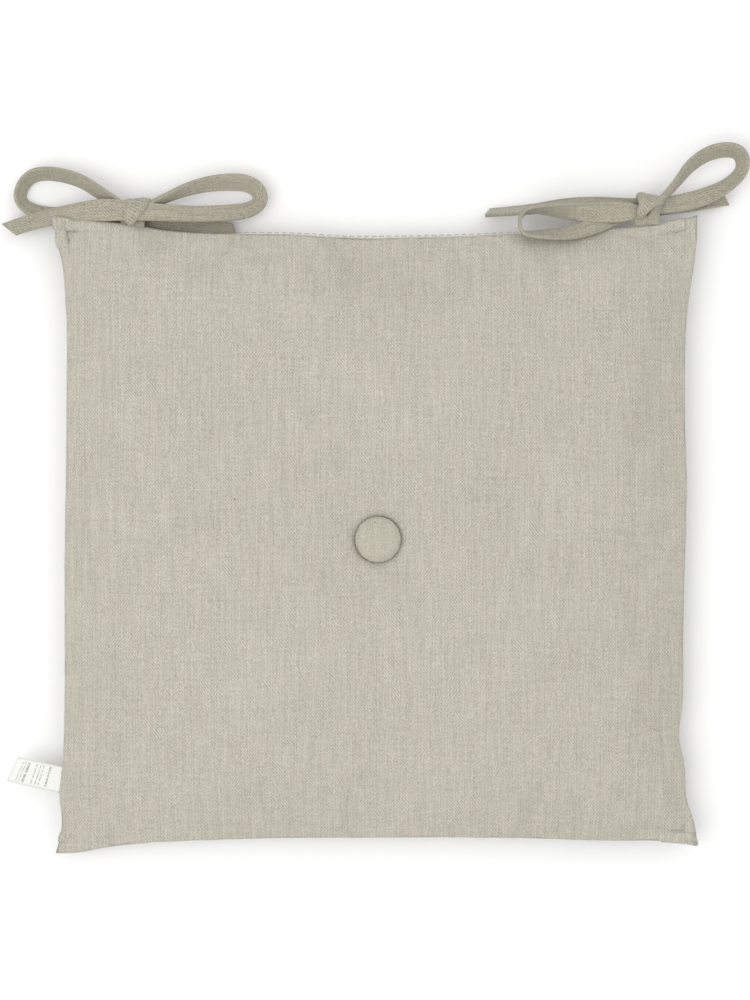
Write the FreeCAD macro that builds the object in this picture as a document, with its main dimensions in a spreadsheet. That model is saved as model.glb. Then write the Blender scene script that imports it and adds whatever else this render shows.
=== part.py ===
import FreeCAD, Part

import math
import os

from FreeCAD import Placement, Rotation, Vector
import Sketcher

# A square stuffed cushion with knife edges, a button on each face tied through the filling,
# a pair of tie tapes in a bow at each rear corner and a folded care label in the left seam.
# Millimetres.  +Z is up, +Y runs towards the bows, and the origin is on the surface that the
# cushion lies on, straight under the buttons.

os.makedirs("parts", exist_ok=True)
doc = FreeCAD.newDocument("TiedCushion")

# ---------------------------------------------------------------- driving dimensions

SIZES = [
    # outline at the seam: the sides are drawn in by the filling, the corners stand out
    ("side_x", 191.5, "middle of a side seam, from the button axis"),
    ("side_y", 187.0, "middle of the front or rear seam, from the button axis"),
    ("side_bow", 8.5, "how far a corner stands out past the middle of a side"),
    ("seam_height", 18.0, "height of the seam above the floor"),
    ("crown", 24.5, "rise of the top above the seam"),
    ("fabric", 1.0, "thickness of the woven cover"),
    ("clearance", 1.0, "free space between cover and filling"),
    ("flange_width", 9.0, "seam allowance, turned inwards"),
    ("overlock_width", 0.8, "thread wrapped round the edge of the allowance"),
    ("closing_length", 172.0, "stretch of the rear seam closed after stuffing"),
    ("thread", 0.8, "thickness of the sewing thread"),
    # filling: three layers of polyester wadding
    ("layer_low", 10.6, "height of the joint between the lower and the core layer"),
    ("layer_high", 25.6, "height of the joint between the core and the upper layer"),
    ("core_side", 172.0, "half the side of the core layer"),
    ("upper_side", 170.0, "half the side of the upper layer"),
    ("twine_hole", 2.4, "radius of the needle way through every layer"),
    # buttons
    ("button_radius", 13.9, "radius of a covered button"),
    ("button_dome", 3.2, "height of its dome over its rim"),
    ("button_wrap", 0.7, "thickness of the fabric drawn over the shell"),
    ("shell_wall", 0.5, "thickness of the pressed shell"),
    ("rim_depth", 2.6, "depth of its rim"),
    ("back_thickness", 1.0, "thickness of the plate pressed into its back"),
    ("shank_radius", 3.0, "radius of the wire loop on the plate"),
    ("shank_wire", 0.6, "radius of its wire"),
    ("upper_rim", 38.0, "height of the upper button's rim"),
    ("lower_rim", 4.4, "height of the lower button's rim"),
    ("upper_well", 30.6, "height of the cover under the upper button"),
    ("lower_well", 10.6, "height of the cover over the lower button"),
    ("well_floor", 15.5, "radius of the bottom of a well"),
    ("upper_well_mouth", 44.0, "radius of the upper well's mouth"),
    ("lower_well_mouth", 30.0, "radius of the lower well's mouth"),
    ("twine", 0.5, "radius of the tufting twine"),
    ("twine_ring", 1.8, "radius of the twine's loop round a shank"),
    # ties and label
    ("tie_round", 2.2, "radius of a round cord with the bulk of the tie tape"),
    ("bow_knot_size", 12.5, "side of the wrap that holds a bow"),
    ("bow_knot_height", 15.0, "its height over the stacked legs of both ties"),
    ("bow_knot_round", 2.6, "rounding of its edges"),
    ("label_width", 16.2, "width of the care label"),
    ("label_length", 29.0, "length of the folded label outside the seam"),
    ("label_ply", 0.5, "thickness of the two plies together"),
]
# crown of a cover, from the seam to its flattest part: share of the height, and inset in mm
TOP_STEPS = [(0.0, 0.0), (0.36, 9.0), (0.66, 26.0), (0.88, 58.0), (1.0, 108.0)]
UNDER_STEPS = [(0.0, 0.0), (0.42, 7.0), (0.74, 18.0), (0.93, 38.0), (1.0, 64.0)]
THROUGH = 60.0  # deeper than the whole cushion, for cuts that go right through

sheet = doc.addObject("Spreadsheet::Sheet", "Sizes")
value = {}
for row, (alias, number, note) in enumerate(SIZES, start=1):
    sheet.set("A%d" % row, alias)
    sheet.set("B%d" % row, repr(number))
    sheet.set("C%d" % row, note)
    sheet.setAlias("B%d" % row, alias)
    value[alias] = number
doc.recompute()

pieces = []


def evaluate(text):
    """The number that an expression over the sheet gives."""
    return float(sheet.evalExpression(text))


def plane_of(body, role):
    for feature in body.Origin.OriginFeatures:
        if feature.Role == role:
            return feature
    raise RuntimeError("no plane " + role)


def new_body(name):
    body = doc.addObject("PartDesign::Body", name)
    body.Label = name
    pieces.append(body)
    return body


def new_sketch(body, name, role="XY_Plane", offset=None):
    sketch = body.newObject("Sketcher::SketchObject", name)
    sketch.AttachmentSupport = [(plane_of(body, role), "")]
    sketch.MapMode = "FlatFace"
    if offset is not None:
        sketch.setExpression("AttachmentOffset.Base.z", offset)
    return sketch


# ---------------------------------------------------------------- square outlines


def add_outline(sketch, side_x, side_y):
    """Four shallow arcs through the corners, bound to the expressions for the half sides."""
    bow = value["side_bow"]
    first = sketch.GeometryCount
    half_x = evaluate(side_x)
    half_y = evaluate(side_y)
    cx = half_x + bow
    cy = half_y + bow
    corners = [Vector(cx, -cy, 0), Vector(cx, cy, 0), Vector(-cx, cy, 0), Vector(-cx, -cy, 0)]
    middles = [Vector(half_x, 0, 0), Vector(0, half_y, 0), Vector(-half_x, 0, 0), Vector(0, -half_y, 0)]
    for i in range(4):
        sketch.addGeometry(Part.Arc(corners[(i + 1) % 4], middles[i], corners[i]))
    # an arc's ends may be stored either way round, so each corner is found by its position
    ends = {}
    for i in range(4):
        arc = sketch.Geometry[first + i]
        for pos, point in ((1, arc.StartPoint), (2, arc.EndPoint)):
            for k in range(4):
                if point.distanceToPoint(corners[k]) < 1e-6:
                    ends.setdefault(k, []).append((first + i, pos))
    for k in range(4):
        (a, pos_a), (b, pos_b) = ends[k]
        sketch.addConstraint(Sketcher.Constraint("Coincident", a, pos_a, b, pos_b))
        sign_x = "" if corners[k].x > 0 else "-"
        sign_y = "" if corners[k].y > 0 else "-"
        across = Sketcher.Constraint("DistanceX", -1, 1, a, pos_a, corners[k].x)
        along = Sketcher.Constraint("DistanceY", -1, 1, a, pos_a, corners[k].y)
        number = sketch.addConstraint(across)
        sketch.setExpression("Constraints[%d]" % number, "%s(%s + Sizes.side_bow)" % (sign_x, side_x))
        number = sketch.addConstraint(along)
        sketch.setExpression("Constraints[%d]" % number, "%s(%s + Sizes.side_bow)" % (sign_y, side_y))
    for i in range(4):
        reach = side_y if i % 2 == 0 else side_x
        radius = "((%s + Sizes.side_bow)^2 + Sizes.side_bow^2) / (2 * Sizes.side_bow)" % reach
        now = sketch.Geometry[first + i].Radius
        number = sketch.addConstraint(Sketcher.Constraint("Radius", first + i, now))
        sketch.setExpression("Constraints[%d]" % number, radius)


def crowned(body, name, steps, way, depth, shrink, subtract=False):
    """A loft from the seam outwards: way is + or -, depth the full height, shrink the inset all over."""
    sketches = []
    for number, (share, inset) in enumerate(steps):
        height = "Sizes.seam_height %s (%s - (%s)) * %r" % (way, depth, shrink, share)
        sketch = new_sketch(body, "%s_ring%d" % (name, number), offset=height)
        side_x = "(Sizes.side_x - %r - (%s))" % (inset, shrink)
        side_y = "(Sizes.side_y - %r - (%s))" % (inset, shrink)
        add_outline(sketch, side_x, side_y)
        sketches.append(sketch)
    doc.recompute()
    kind = "PartDesign::SubtractiveLoft" if subtract else "PartDesign::AdditiveLoft"
    loft = body.newObject(kind, name)
    loft.Profile = sketches[0]
    loft.Sections = sketches[1:]
    loft.Ruled = True
    doc.recompute()
    return loft


# ---------------------------------------------------------------- turned and padded features


def closed_profile(sketch, points):
    """A closed polygon whose corners are pairs of expressions for x and y."""
    numbers = []
    for x, y in points:
        numbers.append(Vector(evaluate(x), evaluate(y), 0))
    count = len(points)
    first = sketch.GeometryCount
    for i in range(count):
        sketch.addGeometry(Part.LineSegment(numbers[i], numbers[(i + 1) % count]))
    for i in range(count):
        sketch.addConstraint(Sketcher.Constraint("Coincident", first + i, 2, first + (i + 1) % count, 1))
    for i, (x, y) in enumerate(points):
        for kind, text, number in (("DistanceX", x, numbers[i].x), ("DistanceY", y, numbers[i].y)):
            place = sketch.addConstraint(Sketcher.Constraint(kind, -1, 1, first + i, 1, number))
            sketch.setExpression("Constraints[%d]" % place, text)


def turned(body, name, points, subtract=False):
    """A ring of revolution about Z from a profile in the XZ plane."""
    sketch = new_sketch(body, name + "_profile", role="XZ_Plane")
    closed_profile(sketch, points)
    doc.recompute()
    feature = body.newObject("PartDesign::Groove" if subtract else "PartDesign::Revolution", name)
    feature.Profile = sketch
    feature.ReferenceAxis = (sketch, ["V_Axis"])
    feature.Angle = 360
    doc.recompute()
    return feature


def needle_way(body, low, high):
    """The hole that the tufting twine runs through."""
    points = [("0", low), ("Sizes.twine_hole", low), ("Sizes.twine_hole", high), ("0", high)]
    return turned(body, body.Name + "_needle_way", points, subtract=True)


# ---------------------------------------------------------------- the cover


def seam_allowance(body, name, way):
    """The flat seam allowance that is turned in at the edge, one layer of fabric thick."""
    sketch = new_sketch(body, name + "_ring", offset="Sizes.seam_height")
    edge = "(Sizes.side_%s - 0.3)"
    inner = "(Sizes.side_%s - Sizes.flange_width)"
    add_outline(sketch, edge % "x", edge % "y")
    add_outline(sketch, inner % "x", inner % "y")
    doc.recompute()
    pad = body.newObject("PartDesign::Pad", name)
    pad.Profile = sketch
    pad.setExpression("Length", "Sizes.fabric")
    pad.Reversed = way == "-"
    doc.recompute()


def cover(name, steps, way, depth, face, mouth, well):
    """One panel of the cover: a crowned shell with a well for the button and a turned-in edge."""
    body = new_body(name)
    crowned(body, name + "_outside", steps, way, depth, "0")
    crowned(body, name + "_inside", steps, way, depth, "Sizes.fabric", subtract=True)
    seam_allowance(body, name + "_allowance", way)
    beyond = "%s %s 5" % (face, way)
    inside = "%s %s -3" % (face, way)
    opening = [("0", inside), (mouth, inside), (mouth, beyond), ("0", beyond)]
    turned(body, name + "_well_opening", opening, subtract=True)
    # the fabric runs down from the mouth to the bottom of the well and back out underneath
    under = "%s %s -Sizes.fabric"
    skin = [
        ("0", well),
        ("Sizes.well_floor", well),
        (mouth, face),
        (mouth + " + 0.4", face),
        (mouth + " + 0.4", under % (face, way)),
        (mouth, under % (face, way)),
        ("Sizes.well_floor", under % (well, way)),
        ("0", under % (well, way)),
    ]
    turned(body, name + "_well", skin)
    needle_way(body, "0", str(THROUGH))
    return body


cover(
    "top_panel", TOP_STEPS, "+", "Sizes.crown",
    "(Sizes.seam_height + Sizes.crown)", "Sizes.upper_well_mouth", "Sizes.upper_well",
)
cover(
    "bottom_panel", UNDER_STEPS, "-", "Sizes.seam_height",
    "0", "Sizes.lower_well_mouth", "Sizes.lower_well",
)

# ---------------------------------------------------------------- threads of the seam

overlock = new_body("perimeter_seam_thread")
ring = new_sketch(overlock, "overlock_ring", offset="Sizes.seam_height - Sizes.fabric")
for inset in ("Sizes.flange_width", "Sizes.flange_width + Sizes.overlock_width"):
    add_outline(ring, "(Sizes.side_x - (%s))" % inset, "(Sizes.side_y - (%s))" % inset)
doc.recompute()
band = overlock.newObject("PartDesign::Pad", "overlock_band")
band.Profile = ring
band.setExpression("Length", "2 * Sizes.fabric")

closing = new_body("closing_seam_thread")
strip = new_sketch(closing, "closing_strip", offset="Sizes.seam_height - Sizes.thread / 2")
reach = value["closing_length"] / 2
corner_x = value["side_x"] + value["side_bow"]
edge_radius = (corner_x**2 + value["side_bow"] ** 2) / (2 * value["side_bow"])


def rear_edge(x, out):
    """A point on the rear seam, or out from it by the given distance."""
    centre = value["side_y"] + edge_radius
    return Vector(x, centre - math.sqrt((edge_radius - out) ** 2 - x**2), 0)


near = [rear_edge(x, 0.0) for x in (-reach, 0.0, reach)]
far = [rear_edge(x, value["thread"]) for x in (reach, 0.0, -reach)]
strip.addGeometry(Part.Arc(*near))
strip.addGeometry(Part.LineSegment(near[2], far[0]))
strip.addGeometry(Part.Arc(*reversed(far)))
strip.addGeometry(Part.LineSegment(far[2], near[0]))
doc.recompute()
stitches = closing.newObject("PartDesign::Pad", "closing_stitches")
stitches.Profile = strip
stitches.setExpression("Length", "Sizes.thread")
doc.recompute()

# ---------------------------------------------------------------- filling

upper = new_body("upper_wadding")
crowned(upper, "upper_layer", TOP_STEPS, "+", "Sizes.crown", "Sizes.fabric + Sizes.clearance")
below = new_sketch(upper, "upper_layer_cut", offset="Sizes.layer_high")
add_outline(below, "(Sizes.side_x + 5)", "(Sizes.side_y + 5)")
doc.recompute()
trim = upper.newObject("PartDesign::Pocket", "upper_layer_underside")
trim.Profile = below
trim.Length = THROUGH
doc.recompute()
rim = new_sketch(upper, "upper_layer_rim", offset="Sizes.layer_high - 1")
add_outline(rim, "(Sizes.side_x + 5)", "(Sizes.side_y + 5)")
add_outline(rim, "Sizes.upper_side", "(Sizes.upper_side - 4)")
doc.recompute()
cut = upper.newObject("PartDesign::Pocket", "upper_layer_edge")
cut.Profile = rim
cut.Length = THROUGH
cut.Reversed = True
doc.recompute()
gap = "(Sizes.fabric + Sizes.clearance)"
top_face = "(Sizes.seam_height + Sizes.crown)"
upper_well = [
    ("0", "Sizes.upper_well - %s" % gap),
    ("Sizes.well_floor + 1", "Sizes.upper_well - %s" % gap),
    ("Sizes.upper_well_mouth + 1.5", "%s - %s + 0.3" % (top_face, gap)),
    ("Sizes.upper_well_mouth + 1.5", "%s + 5" % top_face),
    ("0", "%s + 5" % top_face),
]
turned(upper, "upper_layer_well", upper_well, subtract=True)
needle_way(upper, "0", str(THROUGH))

lower = new_body("lower_wadding")
crowned(lower, "lower_layer", UNDER_STEPS, "-", "Sizes.seam_height", "Sizes.fabric + Sizes.clearance")
above = new_sketch(lower, "lower_layer_cut", offset="Sizes.layer_low")
add_outline(above, "(Sizes.side_x + 5)", "(Sizes.side_y + 5)")
doc.recompute()
trim = lower.newObject("PartDesign::Pocket", "lower_layer_top")
trim.Profile = above
trim.Length = THROUGH
trim.Reversed = True
doc.recompute()
lower_well = [
    ("0", "Sizes.lower_well + %s + 20" % gap),
    ("Sizes.lower_well_mouth", "Sizes.lower_well + %s + 20" % gap),
    ("Sizes.lower_well_mouth", "%s - 0.3" % gap),
    ("Sizes.lower_well_mouth", "-5"),
    ("0", "-5"),
]
turned(lower, "lower_layer_well", lower_well, subtract=True)

core = new_body("core_wadding")
square = new_sketch(core, "core_square", offset="Sizes.layer_low")
add_outline(square, "Sizes.core_side", "(Sizes.core_side - 4)")
doc.recompute()
layer = core.newObject("PartDesign::Pad", "core_layer")
layer.Profile = square
layer.setExpression("Length", "Sizes.layer_high - Sizes.layer_low")
doc.recompute()
core_well = [
    ("0", "0"),
    ("Sizes.lower_well_mouth", "0"),
    ("Sizes.lower_well_mouth", "Sizes.layer_low + 1"),
    ("Sizes.well_floor + 1", "Sizes.lower_well + %s" % gap),
    ("0", "Sizes.lower_well + %s" % gap),
]
turned(core, "core_well", core_well, subtract=True)
needle_way(core, "0", str(THROUGH))

# ---------------------------------------------------------------- buttons


def button(prefix, rim, way):
    """A covered button: fabric over a pressed shell, a plate in its back and a wire shank."""
    up = "%s %s (%s)"
    wrap = new_body(prefix + "_button_cover")
    outside = "Sizes.button_radius"
    inside = "(Sizes.button_radius - Sizes.button_wrap)"
    shoulder = "Sizes.button_radius * 0.72"
    dome = "Sizes.button_dome"
    profile = [
        ("0", up % (rim, way, dome)),
        (shoulder, up % (rim, way, dome + " * 0.66")),
        (outside, up % (rim, way, "0")),
        (outside, up % (rim, way, "-Sizes.rim_depth")),
        (inside, up % (rim, way, "-Sizes.rim_depth")),
        (inside, up % (rim, way, "0")),
        (shoulder, up % (rim, way, dome + " * 0.66 - Sizes.button_wrap")),
        ("0", up % (rim, way, dome + " - Sizes.button_wrap")),
    ]
    turned(wrap, prefix + "_wrap", profile)

    shell = new_body(prefix + "_button_shell")
    outside = "(Sizes.button_radius - Sizes.button_wrap)"
    inside = "(Sizes.button_radius - Sizes.button_wrap - Sizes.shell_wall)"
    lower_by = "Sizes.button_wrap"
    wall = "Sizes.shell_wall"
    profile = [
        ("0", up % (rim, way, "%s - %s" % (dome, lower_by))),
        (shoulder, up % (rim, way, "%s * 0.66 - %s" % (dome, lower_by))),
        (outside, up % (rim, way, "0")),
        (outside, up % (rim, way, "-Sizes.rim_depth")),
        (inside, up % (rim, way, "-Sizes.rim_depth")),
        (inside, up % (rim, way, "0")),
        (shoulder, up % (rim, way, "%s * 0.66 - %s - %s" % (dome, lower_by, wall))),
        ("0", up % (rim, way, "%s - %s - %s" % (dome, lower_by, wall))),
    ]
    turned(shell, prefix + "_pressing", profile)

    back = new_body(prefix + "_button_back")
    face = "-Sizes.rim_depth"
    profile = [
        ("0", up % (rim, way, face + " + Sizes.back_thickness")),
        (inside, up % (rim, way, face + " + Sizes.back_thickness")),
        (inside, up % (rim, way, face)),
        ("0", up % (rim, way, face)),
    ]
    turned(back, prefix + "_plate", profile)

    # the shank is half a ring of wire standing on the plate
    shank = new_body(prefix + "_button_shank")
    section = new_sketch(shank, prefix + "_wire_section", offset=up % (rim, way, face))
    section.addGeometry(Part.Circle(Vector(value["shank_radius"], 0, 0), Vector(0, 0, 1), value["shank_wire"]))
    place = section.addConstraint(Sketcher.Constraint("DistanceX", -1, 1, 0, 3, value["shank_radius"]))
    section.setExpression("Constraints[%d]" % place, "Sizes.shank_radius")
    section.addConstraint(Sketcher.Constraint("PointOnObject", 0, 3, -1))
    place = section.addConstraint(Sketcher.Constraint("Radius", 0, value["shank_wire"]))
    section.setExpression("Constraints[%d]" % place, "Sizes.shank_wire")
    doc.recompute()
    wire = shank.newObject("PartDesign::Revolution", prefix + "_wire")
    wire.Profile = section
    wire.ReferenceAxis = (section, ["V_Axis"])
    wire.Angle = 180
    wire.Reversed = way == "-"
    doc.recompute()
    return shank


upper_shank = button("upper", "Sizes.upper_rim", "+")
lower_shank = button("lower", "Sizes.lower_rim", "-")

# ---------------------------------------------------------------- tufting twine

shank_drop = value["rim_depth"] + value["shank_radius"]
upper_loop = value["upper_rim"] - shank_drop
lower_loop = value["lower_rim"] + shank_drop


def set_solid(name, shape, place=Placement()):
    """A sub-part whose shape is worked out here from the sheet's sizes."""
    feature = doc.addObject("Part::Feature", name)
    feature.Label = name
    feature.Shape = shape
    feature.Placement = place
    pieces.append(feature)
    return feature


def twine_ring(height):
    return Part.makeTorus(value["twine_ring"], value["twine"], Vector(0, 0, height), Vector(1, 0, 0))


run_low = lower_loop + value["twine_ring"]
run_high = upper_loop - value["twine_ring"]
strands = Part.makeCylinder(2 * value["twine"], run_high - run_low, Vector(0, 0, run_low))
twine = strands.fuse([twine_ring(upper_loop), twine_ring(lower_loop)]).removeSplitter()
set_solid("tufting_twine", twine)

# ---------------------------------------------------------------- ties


def rounded_route(points):
    """Straight runs joined by arcs that are as large as the shorter run beside each point allows."""
    points = [Vector(*p) for p in points]
    edges = []
    radii = []
    start = points[0]
    for before, corner, after in zip(points, points[1:], points[2:]):
        back = before - corner
        ahead = after - corner
        reach = 0.45 * min(back.Length, ahead.Length)
        back.normalize()
        ahead.normalize()
        turn = math.pi - back.getAngle(ahead)
        radii.append(reach / math.tan(turn / 2))
        enter = corner + back * reach
        leave = corner + ahead * reach
        bisector = back + ahead
        bisector.normalize()
        to_centre = radii[-1] / math.cos(turn / 2)
        middle = corner + bisector * (to_centre - radii[-1])
        edges.append(Part.LineSegment(start, enter).toShape())
        edges.append(Part.Arc(enter, middle, leave).toShape())
        start = leave
    edges.append(Part.LineSegment(start, points[-1]).toShape())
    return Part.Wire(edges), radii


def tie(name, points):
    """One tape, as a round cord of the same bulk along its route."""
    path, radii = rounded_route(points)
    heading = Vector(*points[1]) - Vector(*points[0])
    ring = Part.makeCircle(value["tie_round"], Vector(*points[0]), heading)
    solid = path.makePipeShell([Part.Wire([ring])], True, True)
    section = math.pi * value["tie_round"] ** 2
    share = solid.Volume / (section * path.Length)
    print("%s: length %.1f, volume share %.3f" % (name, path.Length, share))
    print("   radii", " ".join("%.1f" % radius for radius in radii))
    set_solid(name, solid)


# routes, from the root at the seam, round the loop, back through the knot to the tail's end
TIES = {
    "left_tie_outer": [
        (-154, 192.6, 18.0), (-154.5, 197, 17.8), (-158, 204.5, 17.4),
        (-170, 212, 15.0), (-187, 222.5, 11.6), (-208, 226, 8.6),
        (-217.5, 219, 7.4), (-220, 209, 7.4), (-208, 203, 9.0), (-187, 203.5, 10.6), (-166, 205, 11.4),
        (-149, 203, 11.6), (-131, 197.5, 10.5), (-112, 193.5, 8.0), (-88, 189.8, 5.0),
    ],
    "left_tie_inner": [
        (-148, 192.2, 18.0), (-148, 196, 17.8), (-144.5, 203, 17.4),
        (-133, 209.5, 16.6), (-112, 217, 13.4), (-90, 219.5, 10.2),
        (-78, 217.2, 8.6), (-72.4, 210.6, 8.0), (-78, 204.2, 8.6), (-92, 201.6, 11.0),
        (-110, 200.2, 15.4), (-130, 200.4, 19.8),
        (-150, 201.5, 22.6), (-172, 201.5, 23.6), (-194, 197.5, 24.6), (-215, 192, 23.6), (-227, 189, 21.6),
    ],
    "right_tie_outer": [
        (168.5, 193.8, 18.0), (168.8, 198, 19.0), (171.5, 205.5, 20.0),
        (182, 214.5, 18.4), (196, 226, 15.4), (212, 236, 12.4),
        (222, 234.5, 11.4), (224.4, 226.6, 11.2), (214, 218.5, 12.0), (201, 211.5, 13.0), (187, 207.5, 14.2),
        (170, 205.5, 15.4), (153, 203.5, 15.8), (137, 202.4, 13.8), (118, 201.8, 11.2), (94, 201.6, 9.0),
        (68, 202.2, 6.6),
    ],
    "right_tie_inner": [
        (162.5, 193.4, 18.0), (162.3, 197.2, 19.0), (157.5, 204, 20.2),
        (147, 206.5, 20.8), (128, 207.2, 22.2), (107, 206, 23.2),
        (94.4, 202.4, 23.4), (89.6, 195.8, 23.6), (94.6, 189.6, 23.8), (107, 188.4, 23.8), (121, 190.4, 23.0),
        (140, 196, 16.8),
        (158, 202, 10.8), (178, 206, 10.2), (197, 208.5, 9.2), (215, 212, 8.0),
    ],
}
for name, points in TIES.items():
    tie(name, points)


def bow_knot(name, centre, height, lean):
    """The wrap across the middle of a bow: a rounded block of tape, leaning with the bow."""
    side = value["bow_knot_size"]
    tall = value["bow_knot_height"]
    block = Part.makeBox(side, side, tall, Vector(-side / 2, -side / 2, -tall / 2))
    block = block.makeFillet(value["bow_knot_round"], block.Edges)
    set_solid(name, block, Placement(Vector(centre[0], centre[1], height), Rotation(Vector(0, 0, 1), lean)))


bow_knot("left_bow_knot", (-150.0, 202.6), 17.0, 6)
bow_knot("right_bow_knot", (165.0, 205.2), 15.4, -4)


# ---------------------------------------------------------------- care label

label = new_body("care_label")
flat = new_sketch(label, "label_outline", offset="Sizes.seam_height - Sizes.label_ply / 2")
closed_profile(flat, [
    ("0", "-Sizes.label_width / 2"),
    ("0", "Sizes.label_width / 2"),
    ("-Sizes.label_length", "Sizes.label_width / 2"),
    ("-Sizes.label_length", "-Sizes.label_width / 2"),
])
doc.recompute()
plies = label.newObject("PartDesign::Pad", "label_plies")
plies.Profile = flat
plies.setExpression("Length", "Sizes.label_ply")
doc.recompute()
LABEL_ROOT = Vector(-198.6, -147.6, 0)
LABEL_TILT = -13.0
label.Placement = Placement(LABEL_ROOT, Rotation(Vector(0, 0, 1), LABEL_TILT))

# ---------------------------------------------------------------- check and write

doc.recompute()
for item in doc.Objects:
    if "Invalid" in item.State or "Error" in item.State:
        raise RuntimeError("%s failed: %s" % (item.Name, item.State))
for piece in pieces:
    shape = piece.Shape
    if shape.isNull() or not shape.isValid() or not shape.Solids:
        raise RuntimeError("%s has no valid solid" % piece.Label)
for piece in pieces:
    piece.Shape.exportStep("parts/%s.step" % piece.Label)
    box = piece.Shape.BoundBox
    print("%-24s %10.1f mm3  x %.1f..%.1f  y %.1f..%.1f  z %.2f..%.2f" % (
        piece.Label, piece.Shape.Volume, box.XMin, box.XMax, box.YMin, box.YMax, box.ZMin, box.ZMax))
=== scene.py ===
import math

import bmesh
import bpy
import numpy as np
from bpy.props import FloatProperty, FloatVectorProperty, IntProperty, PointerProperty
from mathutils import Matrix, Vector
from mathutils.bvhtree import BVHTree


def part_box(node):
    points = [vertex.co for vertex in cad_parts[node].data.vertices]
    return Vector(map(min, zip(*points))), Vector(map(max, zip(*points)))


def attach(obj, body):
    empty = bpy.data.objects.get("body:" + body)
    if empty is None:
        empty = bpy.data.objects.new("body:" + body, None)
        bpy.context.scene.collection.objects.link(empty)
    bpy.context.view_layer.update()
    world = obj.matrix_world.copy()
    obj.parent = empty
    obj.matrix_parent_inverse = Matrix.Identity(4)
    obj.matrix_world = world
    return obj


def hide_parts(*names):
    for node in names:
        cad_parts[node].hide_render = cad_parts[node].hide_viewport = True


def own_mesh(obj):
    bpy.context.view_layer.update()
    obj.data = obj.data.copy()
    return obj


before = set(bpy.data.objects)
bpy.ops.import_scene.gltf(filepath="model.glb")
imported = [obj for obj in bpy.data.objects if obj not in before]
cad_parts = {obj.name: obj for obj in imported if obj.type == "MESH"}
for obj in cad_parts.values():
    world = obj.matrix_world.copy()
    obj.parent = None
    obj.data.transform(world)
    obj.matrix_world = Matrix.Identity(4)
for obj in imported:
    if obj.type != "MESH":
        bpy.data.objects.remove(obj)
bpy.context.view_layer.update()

bl_info = {
    "name": "Tied floor cushion",
    "version": (1, 0, 0),
    "blender": (4, 5, 0),
    "location": "3D View > Sidebar > Cushion",
    "description": "Cover, ties, buttons, threads and filling of a tufted cushion, around its CAD frame",
    "category": "Object",
}

MM = 0.001


def linear(red, green, blue):
    """A cloth swatch read as 0 to 255 display values, turned into the shader's linear colour."""
    out = []
    for level in (red, green, blue):
        share = level / 255
        out.append(share / 12.92 if share <= 0.04045 else ((share + 0.055) / 1.055) ** 2.4)
    return tuple(out)


# ---------------------------------------------------------------- sizes and colours

SEAM_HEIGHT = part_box("care_label")[0][2] + 0.25 * MM
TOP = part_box("top_panel")[1][2]
UPPER_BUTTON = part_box("upper_button_cover")
LOWER_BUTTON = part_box("lower_button_cover")
BUTTON_RADIUS = UPPER_BUTTON[1][0]
LAYER_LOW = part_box("core_wadding")[0][2]
LAYER_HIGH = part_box("core_wadding")[1][2]


class CushionSizes(bpy.types.PropertyGroup):
    """Sizes of the cover, its seam and its filling."""

    crown: FloatProperty(
        name="Crown", description="Rise of the top above the seam",
        default=TOP - SEAM_HEIGHT, unit="LENGTH",
    )
    fabric: FloatProperty(
        name="Fabric", description="Thickness of the woven cover", default=0.9 * MM, unit="LENGTH",
    )
    allowance: FloatProperty(
        name="Seam allowance", description="Width of cloth turned in at the seam",
        default=8.0 * MM, unit="LENGTH",
    )
    cells: IntProperty(
        name="Cells", description="Cells along one side of a panel, before it is subdivided", default=100,
    )
    pressure: FloatProperty(
        name="Pressure", description="How hard the filling pushes the cloth out", default=4.0,
    )
    slack: FloatProperty(
        name="Slack", description="Extra cloth, as a share of its size, that gathers into wrinkles",
        default=0.018,
    )
    travel: FloatProperty(
        name="Travel", description="Furthest that the filling may move the cloth",
        default=4.0 * MM, unit="LENGTH",
    )
    pucker: FloatProperty(
        name="Pucker", description="Depth of the gathers beside the seam", default=0.5 * MM, unit="LENGTH",
    )


class TieSizes(bpy.types.PropertyGroup):
    """Sizes of the folded tie tapes."""

    width: FloatProperty(name="Width", description="Width of a tape", default=11.0 * MM, unit="LENGTH")
    thickness: FloatProperty(
        name="Thickness", description="Thickness of the folded tape", default=2.4 * MM, unit="LENGTH",
    )
    cut: FloatProperty(
        name="Cut", description="How far the end is cut aslant", default=3.5 * MM, unit="LENGTH",
    )


class ClothColours(bpy.types.PropertyGroup):
    """Colours of the cloth, tapes, threads and label."""

    cover: FloatVectorProperty(
        name="Cover", description="Middle colour of the woven cover",
        default=linear(179, 175, 162), subtype="COLOR",
    )
    tape: FloatVectorProperty(
        name="Tape", description="Middle colour of the tie tapes",
        default=linear(161, 156, 140), subtype="COLOR",
    )
    button: FloatVectorProperty(
        name="Button", description="Middle colour of the button cloth",
        default=linear(178, 174, 159), subtype="COLOR",
    )
    thread: FloatVectorProperty(
        name="Thread", description="Colour of the sewing thread",
        default=linear(166, 160, 143), subtype="COLOR",
    )
    label: FloatVectorProperty(
        name="Label", description="Colour of the satin label",
        default=linear(228, 228, 222), subtype="COLOR",
    )


# ---------------------------------------------------------------- building blocks


def make_mesh(name, points, faces):
    mesh = bpy.data.meshes.new(name)
    mesh.from_pydata([tuple(p) for p in points], [], [tuple(f) for f in faces])
    mesh.validate()
    mesh.update()
    return mesh


def show(name, mesh):
    """An object at the origin that holds the mesh."""
    piece = bpy.data.objects.new(name, mesh)
    bpy.context.scene.collection.objects.link(piece)
    return piece


def shade_smooth(mesh):
    mesh.polygons.foreach_set("use_smooth", [True] * len(mesh.polygons))
    mesh.update()


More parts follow.
